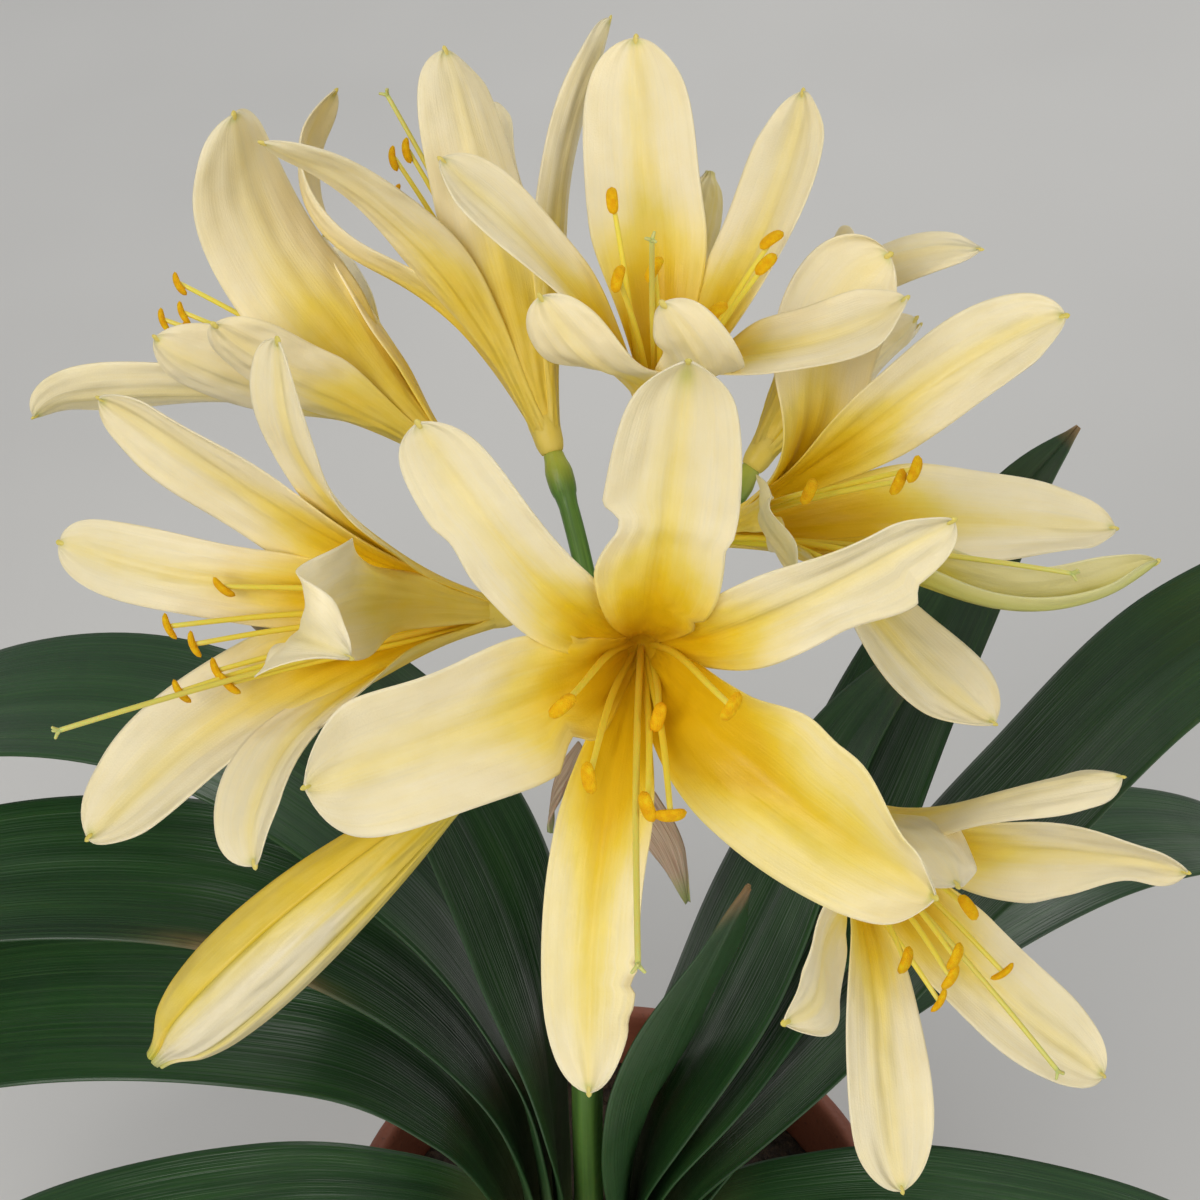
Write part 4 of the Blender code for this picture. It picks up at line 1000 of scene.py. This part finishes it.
def make_bud(name, spec):
    """A closed bud: tepals wrapped round it, with seams between them and a parted tip."""
    foot, tip, thick, bow = spec
    s = steps(BUD_ROWS)
    line = bud_line(foot, tip, bow, BUD_ROWS)
    radii = np.interp(s, steps(len(BUD_OUTLINE)), BUD_OUTLINE)
    radii = np.convolve(np.pad(radii, 7, mode="edge"), np.ones(15) / 15, mode="valid") * thick / 2000
    radii = radii * (1 - 0.35 * ease(s, 0.9, 1.0))
    side = unit(np.cross(tangents(line), (0.0, 0.0, 1.0)))
    up = np.cross(side, tangents(line))
    # for each angle round it: the plate, the place across that from 0 to 1, and the nearest seam
    a = around(BUD_SIDES)
    seams = np.radians(BUD_SEAMS)
    plate = (np.searchsorted(seams, a) - 1) % len(seams)
    wide = (seams[(plate + 1) % len(seams)] - seams[plate]) % math.tau
    into = ((a - seams[plate]) % math.tau) / wide
    near = np.minimum(into, 1 - into) * wide
    s = s[:, None]
    part = ease(s, 0.86, 1.0)
    seam = -(0.055 + 0.3 * part) * bell(near, 0.0, 0.045 + 0.1 * part)
    overlap = 0.05 * (0.5 - into)
    rib = 0.03 * bell(into, 0.5, 0.12) - 0.012 * bell(into, 0.34, 0.06) - 0.012 * bell(into, 0.66, 0.06)
    ring = radii[:, None] * (1 + (seam + overlap + rib) * ease(s, 0.03, 0.22))
    top = 1 - ease(s, 0.3, 0.85)
    # gold of each plate; the upper plate's deeper gold is partly painted shade
    gold = np.array(BUD_PLATE_GOLD_AND_SHADE)[plate] * (0.8 + 0.2 * top) + 0.2 * bell(into, 0.5, 0.05)
    gold = gold + 0.35 * top * np.where(plate == 3, 0.3, 1.0) * (1 - ease(s, 0.0, 0.75))
    gold = gold + 0.16 * bell(near, 0.0, 0.1)
    # the front plate is paler across its middle: a painted highlight
    gold = gold - bell(into, 0.62, 0.3) * ease(s, 0.15, 0.55) * np.where(plate == 0, 0.55, 0.0)
    green = 0.7 * ease(s, 0.945, 1.0) + 0.16 * bell(near, 0.0, 0.05) + 0.25 * (1 - ease(s, 0.0, 0.25))
    tone = [np.clip(part, 0, 1) * BUD_TONE[name] for part in (gold, green)]
    mesh = Mesh()
    body = lofted(swept(line, side[:, None], up[:, None], ring))
    mesh.add(body, (s, into * 2 - 1, plate * 0.31), (*tone, 0), ring.shape)
    mesh.piece(name, "skin", "petal")


# ---- leaves and bracts


def strap_surface(points, st, columns, half, cup, side, lie=None):
    """Middle surface and normals of a strap-like blade, channelled towards its upper face."""
    path = even_path(points, st)
    along = tangents(path)
    if lie is None:
        # level across at its foot, and square to its heading further out
        heading = unit((path[-1] - path[0]) * (1.0, 1.0, 0.0))
        end = np.array([-heading[1], heading[0], 0.0])
        end = end if end[1] >= 0 else -end
        mix = ease(st, 0.25, 0.65)[:, None]
        lie = np.array([0.0, 1.0, 0.0]) * (1 - mix) + end * mix
    across = unit(lie)
    across = unit(across - (across * along).sum(-1, keepdims=True) * along)
    under = side * np.cross(across, along)
    v = crowded(columns, 1.25)
    k = np.radians(cup)[:, None]
    x = (half[:, None] * np.sin(k * v) / k)[..., None]
    y = (half[:, None] * (1 - np.cos(k * v)) / k)[..., None]
    middle = path[:, None] + across[:, None] * x - under[:, None] * y
    normal = under[:, None] * np.cos(k * v)[..., None] + across[:, None] * np.sin(k * v)[..., None]
    return middle, normal, v


def blade_piece(name, look, middle, normal, lift, thick, place, tone):
    """The piece of a leaf or bract, with relief lifted along its normals."""
    mesh = Mesh()
    body = sheet_body(middle + normal * lift[..., None], normal * (thick / 2)[..., None])
    mesh.add(body, place, tone, (2, *lift.shape))
    mesh.piece(name, "skin", look)


def make_leaf(name, spec):
    foot, points, width, rank = spec
    st = steps(LEAF_ROWS)
    s = st[:, None]
    taper = (1 - np.clip((st - 0.55) / 0.45, 0.0, 1.0) ** 2.0) ** 0.8
    half = np.maximum(width / 2000 * (0.72 + 0.28 * ease(st, 0.1, 0.42)) * taper, 0.0006)
    cup = 25 - 11 * ease(st, 0.15, 0.45)
    thick = SHEATH_THICKNESS + (LEAF_THICKNESS - SHEATH_THICKNESS) * ease(s, 0.08, 0.35)
    thick = thick - LEAF_TIP_THINNER * ease(s, 0.7, 1.0)
    middle, normal, v = strap_surface([(foot, 0, LEAF_FOOT), *points], st, LEAF_COLUMNS, half, cup, rank)
    free = ease(s, 0.3, 0.6) * (1 - ease(s, 0.9, 1.0))
    lift = LEAF_RIB * bell(v, 0.0, 0.1) * ease(s, 0.1, 0.3)
    lift = lift + edge_waves(v, st, LEAF_WAVE, 2, (1.5, 3.0)) * free
    lift = lift + 0.00006 * np.cos(math.tau * v * 6) * free
    worn = 0.9 * ease(s, 0.955 + 0.03 * rng.uniform(-1, 1), 1.0)
    if name == "leaf_left_middle":
        # a dry patch on one edge
        worn = np.maximum(worn, bell(s, 0.47, 0.035) * ease(-v, 0.7, 0.95))
    under = np.array([0.5, 0.0])[:, None, None]
    blade_piece(name, "leaf", middle, normal, lift, thick * (1 - 0.65 * np.abs(v) ** 6),
                (s, v, rng.uniform(0, 1)), (0.75 * (1 - ease(s, 0.01, 0.22)), worn, under))


def make_bract(name, spec):
    """A thin dry blade, crumpled along its length."""
    points, width, lie, side = spec
    st = steps(BRACT_ROWS)
    s = st[:, None]
    half = width / 2000 * np.interp(st, steps(len(BRACT_OUTLINE)), BRACT_OUTLINE)
    middle, normal, v = strap_surface(points, st, BRACT_COLUMNS, half, np.full(BRACT_ROWS, 30.0), side, lie)
    first = rng.uniform(0, 6)
    lift = 0.0003 * np.sin(9 * s + 3 * v + first) + 0.00018 * np.cos(14 * v + 5 * s)
    thick = np.full(lift.shape, BRACT_THICKNESS)
    blade_piece(name, "bract", middle, normal, lift * ease(s, 0.1, 0.4), thick, (s, v, first), (0, 0, 0))


# ---- pot and soil


def rounded(profile, size):
    """The profile with each inner corner replaced by a short curve."""
    pts = np.array(profile, float)
    out = [pts[0]]
    for last, corner, following in zip(pts, pts[1:], pts[2:]):
        before = last - corner
        after = following - corner
        cut = min(size, 0.45 * np.linalg.norm(before), 0.45 * np.linalg.norm(after))
        a = corner + unit(before) * cut
        b = corner + unit(after) * cut
        out += [(1 - t) ** 2 * a + 2 * t * (1 - t) * corner + t * t * b for t in steps(5)]
    return out + [pts[-1]]


def pot_profile():
    """Outline of the pot, from the middle of its base out, up and back down inside."""
    h = POT_HEIGHT
    rim = RIM_RADIUS
    low = h - RIM_DROP
    taper = (POT_TOP_RADIUS - POT_BASE_RADIUS) / low
    inner_top = RIM_RADIUS - POT_WALL - 0.0022
    inner_low = POT_BASE_RADIUS + taper * POT_FLOOR - POT_WALL
    return [
        (0.0, 0.0), (POT_BASE_RADIUS - 0.0015, 0.0), (POT_BASE_RADIUS, 0.0015),
        (POT_TOP_RADIUS - 0.0012, low - 0.004), (rim - 0.002, low), (rim, low + 0.0035),
        (rim, low + 0.007), (rim - RIM_GROOVE, low + 0.0095), (rim - RIM_GROOVE, low + 0.0115),
        (rim, low + 0.014), (rim, h - 0.0022), (rim - 0.0025, h), (inner_top + 0.0012, h),
        (inner_top, h - 0.0022), (POT_TOP_RADIUS - POT_WALL, low - 0.001), (inner_low, POT_FLOOR),
        (0.0, POT_FLOOR),
    ]


def drain_holes():
    """Cutters for the ring of holes in the pot's floor."""
    mesh = bpy.data.meshes.new("drains")
    bm = bmesh.new()
    for k in range(DRAIN_COUNT):
        a = math.radians(90 + 360 / DRAIN_COUNT * k)
        made = bmesh.ops.create_cone(bm, cap_ends=True, segments=28, radius1=DRAIN_RADIUS,
                                     radius2=DRAIN_RADIUS, depth=POT_FLOOR + 0.006)
        place = (DRAIN_RING * math.cos(a), DRAIN_RING * math.sin(a), POT_FLOOR / 2)
        bmesh.ops.translate(bm, verts=made["verts"], vec=place)
    bm.to_mesh(mesh)
    bm.free()
    return placed("drains", mesh)


def make_pot():
    """The pot, turned about Z from its outline, with its holes cut."""
    turn = around(POT_SIDES)
    points, faces = lofted([level_ring(turn, r, r, z) for r, z in rounded(pot_profile(), POT_CORNER)[1:-1]])
    mesh = bpy.data.meshes.new("pot_skin")
    mesh.from_pydata(points.tolist(), [], faces)
    bm = bmesh.new()
    bm.from_mesh(mesh)
    bmesh.ops.recalc_face_normals(bm, faces=bm.faces)
    bm.to_mesh(mesh)
    bm.free()
    pot = placed("pot_skin", mesh)
    holes = drain_holes()
    mod = pot.modifiers.new("drains", "BOOLEAN")
    mod.operation = "DIFFERENCE"
    mod.object = holes
    mod.solver = "EXACT"
    mesh = bpy.data.meshes.new_from_object(pot.evaluated_get(bpy.context.evaluated_depsgraph_get()))
    pot.modifiers.clear()
    pot.data = mesh
    bpy.data.objects.remove(holes, do_unlink=True)
    mesh.polygons.foreach_set("use_smooth", [True] * len(mesh.polygons))
    mesh.set_sharp_from_angle(angle=math.radians(40))
    mesh.materials.clear()
    mesh.materials.append(LOOKS["terracotta"])
    dressed(pot, "pot")


def soil_radius(z):
    """Outer radius of the soil at a height, just inside the pot's wall."""
    (r2, z2), (r1, z1) = pot_profile()[-3:-1]
    return r1 + (r2 - r1) * (z - z1) / (z2 - z1) - GAP - SOIL_INSET


def crown_reach(x, y, grow):
    """Below 1 inside the plain hole in which the crown stands, above 1 outside it."""
    u = np.abs(x - CROWN_CENTRE_X) / (CROWN_HALF_X + grow)
    w = np.abs(y) / (CROWN_HALF_Y + grow)
    return (u ** 4 + w ** 4) ** 0.25


def soil_height(x, y):
    rough = noise.fractal(Vector((x * 190, y * 190, 0.3)), 0.9, 2.1, 4)
    lump = noise.noise(Vector((x * 45, y * 45, 7.0)))
    return SOIL_TOP - 0.0006 + 0.0009 * rough + 0.0012 * lump


def make_soil():
    """One block of soil: its side, its uneven top, and the hole that the crown stands in."""
    turn = around(SOIL_SIDES)
    low = POT_FLOOR + GAP
    foot = soil_radius(low)
    edge = soil_radius(SOIL_TOP)
    rows = [level_ring(turn, r, r, z) for r, z in ((foot * 0.5, low), (foot, low), (edge, SOIL_TOP - 0.004))]
    round_way = np.stack([np.cos(turn), np.sin(turn)], axis=-1)
    size = (np.abs(round_way / (CROWN_HALF_X, CROWN_HALF_Y)) ** 4).sum(-1, keepdims=True) ** -0.25
    middle = np.array([CROWN_CENTRE_X, 0.0])
    hole = middle + size * round_way
    for k in np.linspace(1.0, 0.0, SOIL_RINGS):
        flat = hole + (edge * round_way - hole) * k
        z = np.array([soil_height(x, y) for x, y in flat])
        rows.append(np.column_stack([flat, z - 0.0016 * bell(k, 0.0, 0.05) - 0.001 * bell(k, 1.0, 0.04)]))
    inner = hole * 0.96 + middle * 0.04
    for flat, z in ((hole * 0.995, CROWN_HOLE_FLOOR + 0.004), (inner, CROWN_HOLE_FLOOR)):
        rows.append(np.column_stack([flat, np.full(SOIL_SIDES, z)]))
    mesh = Mesh()
    mesh.add(lofted(rows))
    add_crumbs(mesh, edge)
    mesh.piece("soil", "skin", "soil")


def add_crumbs(mesh, edge):
    """Loose crumbs and chips of bark, sunk into the top of the soil."""
    ball = bmesh.new()
    bmesh.ops.create_icosphere(ball, subdivisions=2, radius=1.0)
    shape = np.array([v.co[:] for v in ball.verts])
    faces = [tuple(v.index for v in f.verts) for f in ball.faces]
    ball.free()
    made = 0
    while made < CRUMB_COUNT:
        r = edge * math.sqrt(rng.uniform(0.0, 0.94))
        a = rng.uniform(0, math.tau)
        x = r * math.cos(a)
        y = r * math.sin(a)
        size = rng.uniform(0.0006, 0.0019) * (1.0 if made % 7 else 1.6)
        if crown_reach(x, y, size) < 1.05 or r + size * 1.6 > edge:
            continue
        flat = np.array([rng.uniform(0.8, 1.6), rng.uniform(0.6, 1.1), rng.uniform(0.35, 0.8)])
        way = math.degrees(rng.uniform(0, math.tau))
        dents = 1 + 0.22 * np.sin(shape @ rng.uniform(-4, 4, 3) + rng.uniform(0, 6))
        body = (shape * dents[:, None] * flat * size) @ spin(way).T
        mesh.add((body + (x, y, soil_height(x, y) + size * 0.15), faces))
        made += 1


# ---- studio

CAMERA_PLACE = (-0.005, -0.2815, 0.705)
CAMERA_DOWN = 47.0  # degrees below level
CAMERA_VIEW = 31.0
FLOOR_HALF = 4.0
LIGHT_AIM = (0.0, 0.0, 0.33)

# name, place, size (m), power (W) and colour
LIGHTS = [
    ("key", (-0.62, -0.88, 1.32), 0.9, 11.2, (1.0, 0.975, 0.94)),
    ("fill", (1.1, -0.7, 0.95), 1.0, 4.8, (1.0, 0.985, 0.96)),
    ("back", (0.3, 1.2, 1.1), 0.8, 5.0, (1.0, 0.98, 0.95)),
]


def make_studio():
    scene = bpy.context.scene
    camera = bpy.data.cameras.new("camera")
    camera.angle = math.radians(CAMERA_VIEW)
    camera.clip_start = 0.01
    scene.camera = placed("camera", camera)
    scene.camera.location = CAMERA_PLACE
    scene.camera.rotation_euler = (math.radians(90 - CAMERA_DOWN), 0.0, 0.0)
    for name, place, size, power, color in LIGHTS:
        light = bpy.data.lights.new(name, "AREA")
        light.shape = "DISK"
        light.size = size
        light.energy = power
        light.color = color
        lamp = placed(name, light)
        lamp.location = place
        lamp.rotation_euler = (Vector(LIGHT_AIM) - Vector(place)).to_track_quat("-Z", "Y").to_euler()
    world = bpy.data.worlds.new("studio")
    world.use_nodes = True
    sky = world.node_tree.nodes["Background"]
    sky.inputs[0].default_value = (0.9, 0.93, 0.96, 1.0)
    sky.inputs[1].default_value = 0.34
    scene.world = world
    scene.view_settings.view_transform = "Standard"
    mesh = bpy.data.meshes.new("floor")
    corners = [(FLOOR_HALF * x, FLOOR_HALF * y, 0) for x, y in ((-1, -1), (1, -1), (1, 1), (-1, 1))]
    mesh.from_pydata(corners, [], [(0, 1, 2, 3)])
    mesh.materials.append(floor_look())
    placed("floor", mesh)


# ---- the whole plant

make_studio()
make_pot()
make_soil()
make_stalk()
for table, make in ((LEAVES, make_leaf), (BLOOMS, make_bloom), (BUDS, make_bud), (BRACTS, make_bract)):
    for name, spec in table.items():
        make(name, spec)
